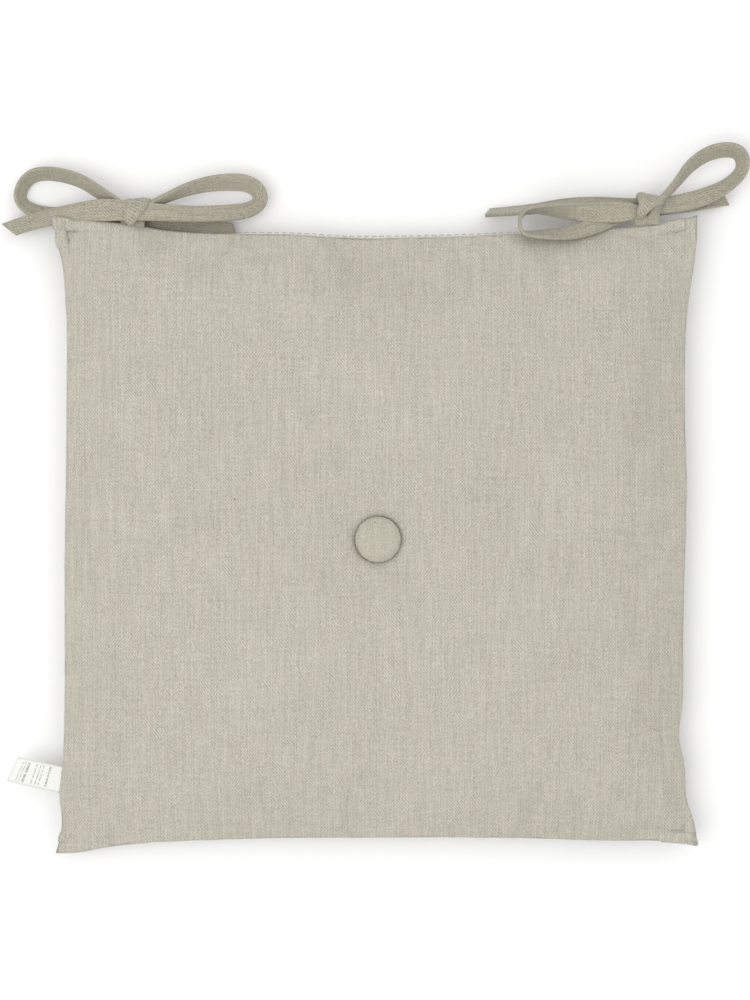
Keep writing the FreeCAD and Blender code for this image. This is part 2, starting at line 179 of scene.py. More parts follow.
def finish_piece(piece, material, body, replaced=()):
    """Gives a finished mesh its material and its body, and hides the nodes that it stands for."""
    piece.data.materials.clear()
    piece.data.materials.append(material)
    shade_smooth(piece.data)
    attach(piece, body)
    if replaced:
        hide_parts(*replaced)
    return piece


def baked(piece):
    """Turns the piece's modifiers into its plain mesh."""
    graph = bpy.context.evaluated_depsgraph_get()
    mesh = bpy.data.meshes.new_from_object(piece.evaluated_get(graph))
    piece.modifiers.clear()
    piece.data = mesh
    return piece


def ring_faces(rings, sides, closed=False, capped=True):
    """Faces of a tube whose rings follow each other, each with the same number of points."""
    faces = []
    last = rings if closed else rings - 1
    for i in range(last):
        for j in range(sides):
            a = i * sides + j
            b = i * sides + (j + 1) % sides
            c = ((i + 1) % rings) * sides + (j + 1) % sides
            d = ((i + 1) % rings) * sides + j
            faces.append((a, b, c, d))
    if capped and not closed:
        faces.append(tuple(range(sides))[::-1])
        faces.append(tuple(range((rings - 1) * sides, rings * sides)))
    return faces


def outwards(mesh):
    """Turns every face of a closed mesh to the outside."""
    work = bmesh.new()
    work.from_mesh(mesh)
    bmesh.ops.recalc_face_normals(work, faces=work.faces)
    work.to_mesh(mesh)
    work.free()
    return mesh


def tangents_of(points, closed=False):
    """Unit directions along a line of points."""
    points = np.asarray(points)
    if closed:
        ahead = np.roll(points, -1, axis=0) - np.roll(points, 1, axis=0)
    else:
        ahead = np.gradient(points, axis=0)
    return ahead / np.linalg.norm(ahead, axis=1)[:, None]


def tube(points, radius, sides=8, closed=False):
    """Points and faces of a round tube along a line."""
    points = np.asarray(points, float)
    tangents = tangents_of(points, closed)
    side = np.cross(tangents[0], (0.3, 0.2, 0.93))
    rings = []
    for point, tangent in zip(points, tangents):
        side = side - tangent * side.dot(tangent)
        side /= np.linalg.norm(side)
        other = np.cross(tangent, side)
        for k in range(sides):
            turn = 2 * math.pi * k / sides
            rings.append(point + radius * (math.cos(turn) * side + math.sin(turn) * other))
    return rings, ring_faces(len(points), sides, closed)


def turned_shape(profile, segments=64):
    """Points and faces of a closed shape turned about Z, from a profile that starts and ends on it."""
    points = [(0, 0, profile[0][1])]
    inner = profile[1:-1]
    for radius, height in inner:
        for k in range(segments):
            turn = 2 * math.pi * k / segments
            points.append((radius * math.cos(turn), radius * math.sin(turn), height))
    points.append((0, 0, profile[-1][1]))
    faces = []
    for k in range(segments):
        nxt = (k + 1) % segments
        faces.append((0, 1 + k, 1 + nxt))
        for i in range(len(inner) - 1):
            a = 1 + i * segments
            b = a + segments
            faces.append((a + k, b + k, b + nxt, a + nxt))
        last = 1 + (len(inner) - 1) * segments
        faces.append((last + k, len(points) - 1, last + nxt))
    return points, faces


def smooth_line(points, places):
    """A smooth curve through the points, read at shares of its length from 0 to 1."""
    points = np.asarray(points, float)
    gaps = np.linalg.norm(np.diff(points, axis=0), axis=1)
    at = np.concatenate([[0], np.cumsum(gaps)])
    slopes = np.gradient(points, at, axis=0)
    fine = np.linspace(0, at[-1], 1200)
    span = np.clip(np.searchsorted(at, fine, side="right") - 1, 0, len(gaps) - 1)
    t = ((fine - at[span]) / gaps[span])[:, None]
    g = gaps[span][:, None]
    curve = (
        (2 * t**3 - 3 * t**2 + 1) * points[span]
        + (t**3 - 2 * t**2 + t) * g * slopes[span]
        + (3 * t**2 - 2 * t**3) * points[span + 1]
        + (t**3 - t**2) * g * slopes[span + 1]
    )
    run = np.concatenate([[0], np.cumsum(np.linalg.norm(np.diff(curve, axis=0), axis=1))])
    run /= run[-1]
    return np.stack([np.interp(places, run, curve[:, k]) for k in range(curve.shape[1])], axis=1)


# ---------------------------------------------------------------- materials


def new_material(name):
    material = bpy.data.materials.new(name)
    material.use_nodes = True
    tree = material.node_tree
    tree.nodes.clear()
    out = tree.nodes.new("ShaderNodeOutputMaterial")
    shader = tree.nodes.new("ShaderNodeBsdfPrincipled")
    tree.links.new(shader.outputs["BSDF"], out.inputs["Surface"])
    return material, tree, shader


def put(tree, socket, value):
    if isinstance(value, bpy.types.NodeSocket):
        tree.links.new(value, socket)
    else:
        socket.default_value = value


def calc(tree, operation, first, second=0.0, third=0.0, clamp=False):
    node = tree.nodes.new("ShaderNodeMath")
    node.operation = operation
    node.use_clamp = clamp
    put(tree, node.inputs[0], first)
    put(tree, node.inputs[1], second)
    put(tree, node.inputs[2], third)
    return node.outputs[0]


def vector_calc(tree, operation, first, second):
    node = tree.nodes.new("ShaderNodeVectorMath")
    node.operation = operation
    put(tree, node.inputs[0], first)
    put(tree, node.inputs[1], second)
    return node.outputs[0]


def noise(tree, place, scale, detail=2.0, roughness=0.5, colour=False):
    """Noise over a place in millimetres; scale is the number of features to a millimetre each way."""
    node = tree.nodes.new("ShaderNodeTexNoise")
    node.inputs["Scale"].default_value = 1.0
    node.inputs["Detail"].default_value = detail
    node.inputs["Roughness"].default_value = roughness
    tree.links.new(vector_calc(tree, "MULTIPLY", place, scale), node.inputs["Vector"])
    return node.outputs["Color" if colour else "Fac"]


def remap(tree, value, low, high, to_low=0.0, to_high=1.0):
    node = tree.nodes.new("ShaderNodeMapRange")
    put(tree, node.inputs["Value"], value)
    for name, number in (("From Min", low), ("From Max", high), ("To Min", to_low), ("To Max", to_high)):
        node.inputs[name].default_value = number
    return node.outputs["Result"]


def blend_colour(tree, share, first, second, kind="MIX"):
    node = tree.nodes.new("ShaderNodeMix")
    node.data_type = "RGBA"
    node.blend_type = kind
    put(tree, node.inputs["Factor"], share)
    for socket, colour in ((node.inputs[6], first), (node.inputs[7], second)):
        if not isinstance(colour, bpy.types.NodeSocket):
            colour = (*colour, 1.0)
        put(tree, socket, colour)
    return node.outputs[2]


def bumped(tree, shader, height, strength, distance):
    node = tree.nodes.new("ShaderNodeBump")
    node.inputs["Strength"].default_value = strength
    node.inputs["Distance"].default_value = distance
    tree.links.new(height, node.inputs["Height"])
    tree.links.new(node.outputs["Normal"], shader.inputs["Normal"])


def place_in_mm(tree, flat_map=None):
    """Object coordinates in millimetres, or the piece's own flat map, which already is."""
    if flat_map:
        node = tree.nodes.new("ShaderNodeUVMap")
        node.uv_map = flat_map
        return node.outputs["UV"]
    node = tree.nodes.new("ShaderNodeTexCoord")
    return vector_calc(tree, "MULTIPLY", node.outputs["Object"], (1000, 1000, 1000))


def scaled(colour, factor):
    return tuple(level * factor for level in colour)


def weave_height(tree, place, pitch, lean):
    """The raised dots of a weave with a diagonal; lean from -1 to 1 says which diagonal is stronger."""
    split = tree.nodes.new("ShaderNodeSeparateXYZ")
    tree.links.new(place, split.inputs[0])
    across = calc(tree, "MULTIPLY", split.outputs[0], 2 * math.pi / pitch[0])
    along = calc(tree, "MULTIPLY", split.outputs[1], 2 * math.pi / pitch[1])
    rising = calc(tree, "COSINE", calc(tree, "ADD", across, along))
    falling = calc(tree, "COSINE", calc(tree, "SUBTRACT", across, along))
    patch = noise(tree, place, (0.035, 0.035, 0.035), 2.0)
    share = remap(tree, patch, 0.4, 0.6, max(0.0, lean), min(1.0, 1.0 + lean))
    mixed = calc(tree, "ADD", calc(tree, "MULTIPLY", rising, share),
                 calc(tree, "MULTIPLY", falling, calc(tree, "SUBTRACT", 1.0, share)))
    upright = calc(tree, "MULTIPLY", calc(tree, "COSINE", across), 0.35)
    return calc(tree, "ADD", mixed, upright)


def cloth(name, colour, pitch=(1.79, 2.18), lean=0.0, contrast=1.0, flat_map=None, sheen=0.35):
    """Woven melange cloth: thread dots, thick and thin yarns, fibre specks and slow changes of hue."""
    material, tree, shader = new_material(name)
    place = place_in_mm(tree, flat_map)
    drift = noise(tree, place, (0.09, 0.09, 0.09), 2.0, colour=True)
    drift = vector_calc(tree, "SUBTRACT", drift, (0.5, 0.5, 0.5))
    place = vector_calc(tree, "ADD", place, vector_calc(tree, "MULTIPLY", drift, (2.2, 2.2, 2.2)))
    weave = weave_height(tree, place, pitch, lean)
    warp = noise(tree, place, (0.62, 0.035, 0.05), 2.0)
    weft = noise(tree, place, (0.05, 0.5, 0.05), 2.0)
    speck = noise(tree, place, (1.1, 0.9, 0.9), 3.0, 0.65)
    cloud = noise(tree, place, (0.018, 0.018, 0.018), 2.0)
    strength = remap(tree, noise(tree, place, (0.07, 0.07, 0.07), 1.0), 0.3, 0.7, 0.45, 1.25)
    tone = calc(tree, "MULTIPLY", weave, 0.24)
    tone = calc(tree, "MULTIPLY", tone, strength)
    for source, amount in ((warp, 0.60), (weft, 0.30), (speck, 1.9), (cloud, 0.20)):
        tone = calc(tree, "ADD", tone, calc(tree, "MULTIPLY", calc(tree, "SUBTRACT", source, 0.5), amount))
    share = calc(tree, "ADD", calc(tree, "MULTIPLY", tone, contrast), 0.5, clamp=True)
    base = blend_colour(tree, share, scaled(colour, 0.70), scaled(colour, 1.30))
    hue = remap(tree, noise(tree, place, (0.11, 0.05, 0.08), 3.0), 0.32, 0.68)
    tint = blend_colour(tree, hue, (0.985, 1.0, 0.995), (1.012, 0.997, 0.992))
    base = blend_colour(tree, 1.0, base, tint, "MULTIPLY")
    flecks = remap(tree, noise(tree, place, (0.34, 0.22, 0.3), 1.0), 0.80, 0.84)
    base = blend_colour(tree, flecks, base, scaled(colour, 0.55))
    tree.links.new(base, shader.inputs["Base Color"])
    height = calc(tree, "ADD", calc(tree, "MULTIPLY", weave, 0.35), calc(tree, "MULTIPLY", warp, 0.5))
    height = calc(tree, "ADD", height, calc(tree, "MULTIPLY", speck, 0.8))
    bumped(tree, shader, height, 0.45, 0.25 * MM)
    tree.links.new(remap(tree, speck, 0.3, 0.7, 0.78, 0.95), shader.inputs["Roughness"])
    shader.inputs["Specular IOR Level"].default_value = 0.25
    shader.inputs["Sheen Weight"].default_value = sheen
    shader.inputs["Sheen Roughness"].default_value = 0.45
    return material


def thread_material(name, colour, twist=1.4):
    """Plied sewing thread: fine slanting grooves, painted darker than the crests as painted shade, and a
    little gloss.
    """
    material, tree, shader = new_material(name)
    place = place_in_mm(tree)
    wave = tree.nodes.new("ShaderNodeTexWave")
    wave.wave_type = "BANDS"
    wave.bands_direction = "DIAGONAL"
    wave.inputs["Scale"].default_value = twist
    wave.inputs["Distortion"].default_value = 1.5
    tree.links.new(place, wave.inputs["Vector"])
    fuzz = noise(tree, place, (2.0, 2.0, 2.0), 3.0)
    # painted shade: the colour darkens in the grooves and lightens on the crests of the twist; the fuzz adds
    # random tone
    groove = calc(tree, "MULTIPLY", wave.outputs["Fac"], 0.5)
    shade = calc(tree, "ADD", groove, calc(tree, "MULTIPLY", fuzz, 0.5))
    base = blend_colour(tree, shade, scaled(colour, 0.72), scaled(colour, 1.2))
    tree.links.new(base, shader.inputs["Base Color"])
    bumped(tree, shader, wave.outputs["Fac"], 0.5, 0.1 * MM)
    tree.links.new(remap(tree, fuzz, 0.3, 0.7, 0.5, 0.75), shader.inputs["Roughness"])
    shader.inputs["Sheen Weight"].default_value = 0.3
    return material


def wadding_material():
    """White polyester fibre, matted and loose."""
    material, tree, shader = new_material("polyester wadding")
    place = place_in_mm(tree)
    swirl = noise(tree, place, (0.06, 0.06, 0.06), 2.0, colour=True)
    swirl = vector_calc(tree, "MULTIPLY", swirl, (9, 9, 9))
    fibre = noise(tree, vector_calc(tree, "ADD", place, swirl), (0.9, 0.12, 0.6), 5.0, 0.7)
    tuft = noise(tree, place, (0.05, 0.05, 0.05), 3.0)
    shade = calc(tree, "ADD", calc(tree, "MULTIPLY", fibre, 0.7), calc(tree, "MULTIPLY", tuft, 0.3))
    base = blend_colour(tree, remap(tree, shade, 0.3, 0.7), linear(214, 214, 210), linear(247, 247, 244))
    tree.links.new(base, shader.inputs["Base Color"])
    bumped(tree, shader, shade, 0.8, 1.0 * MM)
    tree.links.new(remap(tree, fibre, 0.3, 0.7, 0.8, 1.0), shader.inputs["Roughness"])
    shader.inputs["Sheen Weight"].default_value = 0.6
    shader.inputs["Subsurface Weight"].default_value = 0.2
    shader.inputs["Subsurface Scale"].default_value = 2.0 * MM
    return material


def metal_material(name, colour, streak, roughness):
    """Pressed or drawn metal: fine streaks, faint smudges and a few duller spots."""
    material, tree, shader = new_material(name)
    place = place_in_mm(tree)
    grain = noise(tree, place, streak, 4.0, 0.6)
    smudge = noise(tree, place, (0.15, 0.15, 0.15), 2.0)
    base = blend_colour(tree, grain, scaled(colour, 0.82), scaled(colour, 1.1))
    tree.links.new(base, shader.inputs["Base Color"])
    mixed = calc(tree, "ADD", calc(tree, "MULTIPLY", grain, 0.6), calc(tree, "MULTIPLY", smudge, 0.4))
    dull = remap(tree, mixed, 0.3, 0.7, roughness - 0.1, roughness + 0.15)
    tree.links.new(dull, shader.inputs["Roughness"])
    bumped(tree, shader, grain, 0.2, 0.05 * MM)
    shader.inputs["Metallic"].default_value = 1.0
    return material


# rows of print on the label, as the distance from the seam and the height of the row, in mm
PRINT_ROWS = ((9.2, 1.1), (13.5, 0.6), (15.4, 0.6), (17.9, 0.6), (22.9, 1.5), (25.1, 0.5), (26.8, 0.5))


def label_material(colour, width):
    """White satin with rows of plain grey dashes, woven finely along the ribbon."""
    material, tree, shader = new_material("label satin")
    place = place_in_mm(tree, "Ribbon")
    split = tree.nodes.new("ShaderNodeSeparateXYZ")
    tree.links.new(place, split.inputs[0])
    along, across = split.outputs[0], split.outputs[1]
    rib = calc(tree, "COSINE", calc(tree, "MULTIPLY", along, 2 * math.pi / 0.34))
    yarn = noise(tree, place, (0.4, 3.0, 1.0), 3.0)
    shade = calc(tree, "ADD", calc(tree, "MULTIPLY", rib, 0.12), yarn)
    base = blend_colour(tree, remap(tree, shade, 0.2, 0.8), scaled(colour, 0.9), scaled(colour, 1.04))
    inked = None
    for number, (start, height) in enumerate(PRINT_ROWS):
        off = calc(tree, "ABSOLUTE", calc(tree, "SUBTRACT", along, start))
        row = calc(tree, "LESS_THAN", off, height / 2)
        shifted = vector_calc(tree, "ADD", place, (0, 31.7 * number, 0))
        dash = calc(tree, "GREATER_THAN", noise(tree, shifted, (0.0, 0.85, 0.0), 2.0), 0.46)
        side = calc(tree, "LESS_THAN", calc(tree, "ABSOLUTE", across), width / MM * 0.40)
        row = calc(tree, "MULTIPLY", calc(tree, "MULTIPLY", row, dash), side)
        inked = row if inked is None else calc(tree, "MAXIMUM", inked, row)
    base = blend_colour(tree, calc(tree, "MULTIPLY", inked, 0.62), base, linear(92, 94, 96))
    tree.links.new(base, shader.inputs["Base Color"])
    bumped(tree, shader, shade, 0.25, 0.08 * MM)
    tree.links.new(remap(tree, yarn, 0.3, 0.7, 0.38, 0.55), shader.inputs["Roughness"])
    shader.inputs["Sheen Weight"].default_value = 0.2
    return material


def floor_material():
    """Plain pale floor with a very slow change of tone."""
    material, tree, shader = new_material("studio floor")
    place = place_in_mm(tree)
    cloud = noise(tree, place, (0.004, 0.004, 0.004), 2.0)
    base = blend_colour(tree, cloud, (0.90, 0.90, 0.90), (0.93, 0.93, 0.93))
    tree.links.new(base, shader.inputs["Base Color"])
    shader.inputs["Roughness"].default_value = 0.95
    shader.inputs["Specular IOR Level"].default_value = 0.1
    return material


# ---------------------------------------------------------------- stage

VIEW_CENTRE = (-1.85 * MM, 24.0 * MM)  # the cushion sits a little low in the view
VIEW_HEIGHT = 0.616
CAMERA_DISTANCE = 1.5
SENSOR = 36.0
FLOOR_HALF = 3.0
FLOOR_LEVEL = -0.3 * MM  # a hair below the cushion, so that the two never lie in one plane
WORLD_LIGHT = 0.79


def set_camera():
    data = bpy.data.cameras.new("camera")
    data.sensor_width = SENSOR
    data.lens = SENSOR * CAMERA_DISTANCE / VIEW_HEIGHT
    data.clip_end = 20
    camera = bpy.data.objects.new("camera", data)
    camera.location = (*VIEW_CENTRE, SEAM_HEIGHT + CAMERA_DISTANCE)
    bpy.context.scene.collection.objects.link(camera)
    bpy.context.scene.camera = camera


def soft_light(name, place, size, power, target=(0, 0, 0.02)):
    data = bpy.data.lights.new(name, "AREA")
    data.shape = "SQUARE"
    data.size = size
    data.energy = power
    light = bpy.data.objects.new(name, data)
    light.location = place
    light.rotation_mode = "QUATERNION"
    light.rotation_quaternion = (Vector(target) - Vector(place)).to_track_quat("-Z", "Y")
    bpy.context.scene.collection.objects.link(light)


def set_stage():
    """Pale floor, two soft lights, an even white world and the camera straight above."""
    ways = ((-1, -1), (1, -1), (1, 1), (-1, 1))
    corners = [(x * FLOOR_HALF, y * FLOOR_HALF, FLOOR_LEVEL) for x, y in ways]
    floor = show("studio_floor", make_mesh("studio_floor", corners, [(0, 1, 2, 3)]))
    floor.data.materials.append(floor_material())
    set_camera()
    soft_light("key light", (-0.7, -0.3, 1.5), 1.3, 11)
    soft_light("fill light", (0.9, 0.8, 1.6), 1.6, 7)
    world = bpy.data.worlds.new("studio")
    world.use_nodes = True
    world.node_tree.nodes["Background"].inputs["Color"].default_value = (1, 1, 1, 1)
    world.node_tree.nodes["Background"].inputs["Strength"].default_value = WORLD_LIGHT
    bpy.context.scene.world = world
    bpy.context.scene.view_settings.view_transform = "Standard"


# ---------------------------------------------------------------- ties

# Each tape's route in metres, from its root at the seam round its loop, back through the knot to
# the tail's end; then how the tape is turned about its route (0 lies flat, 90 stands on edge, plus
# lifts its left edge) and its width there, as a share of the flat tape.
TIES = {
    "left_tie_outer": [
        (-0.1540, 0.1926, 0.0180, 0, 0.80), (-0.1545, 0.1970, 0.0178, -10, 0.72),
        (-0.1580, 0.2045, 0.0174, -35, 0.72), (-0.1700, 0.2125, 0.0150, -48, 0.88),
        (-0.1865, 0.2235, 0.0116, -50, 0.98), (-0.2100, 0.2275, 0.0086, -52, 1.00),
        (-0.2205, 0.2205, 0.0074, -58, 1.00), (-0.2230, 0.2085, 0.0070, -58, 1.00),
        (-0.2090, 0.2010, 0.0064, -34, 1.00), (-0.1880, 0.2010, 0.0062, -8, 0.95),
        (-0.1680, 0.2020, 0.0084, -4, 0.90), (-0.1490, 0.1985, 0.0100, 0, 0.95),
        (-0.1310, 0.1952, 0.0090, 4, 1.00), (-0.1120, 0.1928, 0.0070, 4, 1.05),
        (-0.0880, 0.1898, 0.0050, 0, 1.05),
    ],
    "left_tie_inner": [
        (-0.1480, 0.1922, 0.0180, 0, 0.80), (-0.1480, 0.1960, 0.0178, 10, 0.72),
        (-0.1445, 0.2030, 0.0174, 60, 0.62), (-0.1330, 0.2095, 0.0166, 66, 0.72),
        (-0.1120, 0.2185, 0.0134, 44, 0.96), (-0.0890, 0.2215, 0.0102, 28, 1.04),
        (-0.0765, 0.2190, 0.0086, 34, 1.02), (-0.0715, 0.2106, 0.0080, 38, 1.02),
        (-0.0780, 0.2038, 0.0086, 30, 1.02), (-0.0920, 0.2016, 0.0110, 20, 1.00),
        (-0.1100, 0.2004, 0.0154, 20, 0.98), (-0.1300, 0.2006, 0.0198, 12, 0.96),
        (-0.1500, 0.2018, 0.0226, 0, 1.10), (-0.1690, 0.2026, 0.0204, -4, 1.28),
        (-0.1860, 0.2014, 0.0158, 4, 1.10), (-0.2040, 0.1985, 0.0126, 16, 1.00),
        (-0.2180, 0.1950, 0.0112, 22, 1.00), (-0.2285, 0.1914, 0.0104, 24, 1.00),
    ],
    "right_tie_outer": [
        (0.1685, 0.1938, 0.0180, 0, 0.80), (0.1688, 0.1980, 0.0190, 20, 0.70),
        (0.1735, 0.2080, 0.0200, 68, 0.60), (0.1830, 0.2180, 0.0188, 64, 0.74),
        (0.1935, 0.2320, 0.0160, 48, 0.92), (0.2085, 0.2405, 0.0132, 42, 1.00),
        (0.2240, 0.2405, 0.0118, 48, 1.00), (0.2268, 0.2285, 0.0116, 54, 1.00),
        (0.2160, 0.2180, 0.0122, 42, 1.00), (0.2010, 0.2110, 0.0130, 24, 1.08),
        (0.1870, 0.2072, 0.0142, 14, 1.05), (0.1700, 0.2050, 0.0154, 6, 0.90),
        (0.1530, 0.2052, 0.0158, 12, 0.95), (0.1370, 0.2066, 0.0140, 24, 0.98),
        (0.1160, 0.2068, 0.0118, 40, 0.98), (0.0940, 0.2038, 0.0092, 58, 0.95),
        (0.0680, 0.2022, 0.0066, 64, 0.90),
    ],
    "right_tie_inner": [
        (0.1625, 0.1934, 0.0180, 0, 0.80), (0.1623, 0.1972, 0.0190, -10, 0.75),
        (0.1585, 0.2015, 0.0204, -6, 0.92), (0.1470, 0.2008, 0.0212, -6, 1.18),
        (0.1300, 0.2004, 0.0226, -20, 1.14), (0.1090, 0.2018, 0.0236, -56, 1.02),
        (0.0930, 0.2030, 0.0240, -80, 0.95), (0.0868, 0.1985, 0.0244, -88, 0.95),
        (0.0868, 0.1900, 0.0250, -86, 0.95), (0.0910, 0.1868, 0.0258, -74, 0.95),
        (0.1050, 0.1868, 0.0262, -56, 0.98), (0.1190, 0.1876, 0.0256, -40, 1.00),
        (0.1330, 0.1922, 0.0218, -28, 1.00), (0.1480, 0.1990, 0.0150, -18, 0.90),
        (0.1600, 0.2024, 0.0108, -10, 0.82), (0.1780, 0.2060, 0.0102, -6, 1.00),
        (0.1970, 0.2085, 0.0092, -4, 1.05), (0.2150, 0.2120, 0.0080, 0, 1.05),
    ],
}
# which edge of the free end is the longer one
TIE_SLANTS = {
    "left_tie_outer": -1.0, "left_tie_inner": -1.0, "right_tie_outer": 0.4, "right_tie_inner": -0.5,
}
# half of the tape's section from edge to edge: share of the half width, share of the half thickness
TAPE_SECTION = (
    (-1.0, 0.0), (-0.985, 0.52), (-0.93, 0.90), (-0.84, 1.0), (-0.70, 0.70), (-0.50, 0.86), (-0.2, 0.93),
    (0.15, 0.93), (0.5, 0.92), (0.78, 1.0), (0.92, 0.90), (0.985, 0.52), (1.0, 0.0),
)


def route_line(name, points):
    """Points along the route's own smooth curve."""
    curve = bpy.data.curves.new(name + "_route", "CURVE")
    curve.dimensions = "3D"
    curve.resolution_u = 14
    spline = curve.splines.new("NURBS")
    spline.points.add(len(points) - 1)
    for point, place in zip(spline.points, points):
        point.co = (*place, 1)
    spline.order_u = 3
    spline.use_endpoint_u = True
    carrier = bpy.data.objects.new(name + "_route", curve)
    mesh = bpy.data.meshes.new_from_object(carrier)
    line = np.array([vertex.co for vertex in mesh.vertices])
    bpy.data.objects.remove(carrier)
    bpy.data.meshes.remove(mesh)
    bpy.data.curves.remove(curve)
    return line


def along_route(values, count):
    """Values given at the control points of an order 3 curve, read at its sampled points."""
    last = len(values) - 2
    places = np.concatenate([[0.0], np.arange(last) + 0.5, [float(last)]])
    return np.interp(np.linspace(0, last, count), places, values)


def softened(values, reach):
    """Values along a line, evened out over their neighbours."""
    kernel = np.hanning(2 * reach + 1)
    kernel /= kernel.sum()
    return np.convolve(np.pad(values, reach, mode="edge"), kernel, mode="valid")


def tape_frames(line, turns):
    """Tangent, width direction and face direction of a tape along its line."""
    tangents = tangents_of(line)
    level = np.cross((0, 0, 1), tangents)
    level /= np.linalg.norm(level, axis=1)[:, None]
    rise = np.cross(tangents, level)
    angle = np.radians(turns)[:, None]
    side = np.cos(angle) * level + np.sin(angle) * rise
    return tangents, side, np.cross(tangents, side)


def tape_mesh(name, line, turns, widths, sizes, slant):
    """A folded tape with rounded edges and a stitched groove, cut aslant at its free end."""
    upper = list(TAPE_SECTION)
    lower = [(a, -b) for a, b in TAPE_SECTION[-2:0:-1]]
    section = upper + lower
    sides = len(section)
    tangents, side, face = tape_frames(line, turns)
    count = len(line)
    run = np.concatenate([[0], np.cumsum(np.linalg.norm(np.diff(line, axis=0), axis=1))])
    points = []
    for i in range(count):
        half_width = sizes.width / 2 * widths[i]
        half_thick = sizes.thickness / 2 * (1 + 0.5 * max(0.0, 1 - widths[i]))
        near_end = max(0.0, 1 - (run[-1] - run[i]) / (4 * sizes.cut))
        for a, b in section:
            place = line[i] + a * half_width * side[i] + b * half_thick * face[i]
            points.append(place + tangents[i] * (a * slant * sizes.cut * near_end**2))
    mesh = make_mesh(name, points, ring_faces(count, sides))
    girth = [0.0]
    for k in range(sides):
        a, b = section[k], section[(k + 1) % sides]
        step = math.hypot((a[0] - b[0]) * sizes.width / 2, (a[1] - b[1]) * sizes.thickness / 2)
        girth.append(girth[-1] + step)
    flat = mesh.uv_layers.new(name="Tape")
    for polygon in mesh.polygons:
        on_cap = len(polygon.vertices) > 4
        wraps = not on_cap and {v % sides for v in polygon.vertices} == {0, sides - 1}
        for corner, vertex in zip(polygon.loop_indices, polygon.vertices):
            ring, k = divmod(vertex, sides)
            around = girth[sides] if wraps and k == 0 else girth[k]
            flat.data[corner].uv = (around / MM, run[ring] / MM)
    return mesh


def make_tie(name, body, sizes, material):
    rows = TIES[name]
    line = route_line(name, [row[:3] for row in rows])
    turns = softened(along_route([row[3] for row in rows], len(line)), 9)
    widths = softened(along_route([row[4] for row in rows], len(line)), 7)
    piece = show(name + "_tape", tape_mesh(name + "_tape", line, turns, widths, sizes, TIE_SLANTS[name]))
    finish_piece(piece, material, body, [name])
    return piece, line, turns, widths


# Each knot's wrap: its centre, its lean in degrees, half its width in mm at the back and over the top,
# how far its point lies sideways from its middle, and half its size front to back.
KNOTS = {
    "left_bow_knot": {
        "centre": (-0.1485, 0.2012, 0.0168), "lean": 3.0,
        "back": 8.3, "crest": 6.3, "point": -3.2, "reach": 8.8,
    },
    "right_bow_knot": {
        "centre": (0.1655, 0.2042, 0.0180), "lean": -14.0,
        "back": 8.8, "crest": 4.8, "point": -2.2, "reach": 8.4,
    },
}
KNOT_RISE = 8.2  # half the wrap's height, mm


def knot_mesh(name, centre, lean, back, crest, point, reach):
    """A strap wrapped once across the bow: broad at the back, drawn to a point towards the seam."""
    around = 64
    across = 18
    points = []
    for i in range(around):
        turn = 2 * math.pi * i / around
        forward = math.cos(turn)
        share = 0.5 - 0.5 * forward
        half = np.interp(share, (0.0, 0.2, 0.5, 0.8, 1.0), (back, back * 0.92, crest, crest * 0.72, 1.6))
        shift = point * smooth_step(share, 0.1, 1.0) + (0.8 - 1.6 * share)
        thick = 1.55 + 0.3 * math.sin(3 * turn + 0.6) + 0.5 * smooth_step(share, 0.7, 1.0)
        for k in range(across):
            spin = 2 * math.pi * k / across
            a = math.copysign(abs(math.cos(spin)) ** 0.6, math.cos(spin))
            b = math.copysign(abs(math.sin(spin)) ** 0.8, math.sin(spin))
            crease = 0.30 * math.exp(-(((a + 0.35 - 0.5 * share) / 0.14) ** 2)) * max(0.0, b)
            crease += 0.16 * math.exp(-(((a - 0.45 + 0.3 * share) / 0.12) ** 2)) * max(0.0, b)
            bulge = thick * (b * (1.15 - 0.3 * a * a) - crease)
            y = (reach - 1.5 + bulge) * forward
            z = (KNOT_RISE - 1.5 + bulge) * math.sin(turn)
            points.append((a * half + shift, y, z))
    turn = math.radians(lean)
    placed = []
    for x, y, z in points:
        placed.append((
            centre[0] + (x * math.cos(turn) - y * math.sin(turn)) * MM,
            centre[1] + (x * math.sin(turn) + y * math.cos(turn)) * MM,
            centre[2] + z * MM,
        ))
    mesh = make_mesh(name, placed, ring_faces(around, across, closed=True))
    flat = mesh.uv_layers.new(name="Tape")
    for polygon in mesh.polygons:
        rings = [v // across for v in polygon.vertices]
        slots = [v % across for v in polygon.vertices]
        for corner, ring, k in zip(polygon.loop_indices, rings, slots):
            ring_at = around if ring == 0 and max(rings) == around - 1 else ring
            slot_at = across if k == 0 and max(slots) == across - 1 else k
            flat.data[corner].uv = (slot_at / across * 28, ring_at / around * 52)
    return outwards(mesh)


def make_ties(sizes, colours):
    """The four tapes as cords, each knot's wrap going with its bow's outer tape."""
    tape = cloth("tie tape cloth", colours.tape, pitch=(1.5, 1.9), lean=0.9, contrast=1.6, flat_map="Tape")
    made = {}
    for name in TIES:
        body = name.split("_")[0] + "_bow"
        made[name] = make_tie(name, body, sizes, tape)
    for name, facts in KNOTS.items():
        wrap = show(name + "_wrap", knot_mesh(name, **facts))
        finish_piece(wrap, tape, name.replace("_knot", ""), [name])
        made[name] = wrap
    for name in TIES:
        piece, line, turns, widths = made[name]


# ---------------------------------------------------------------- cover

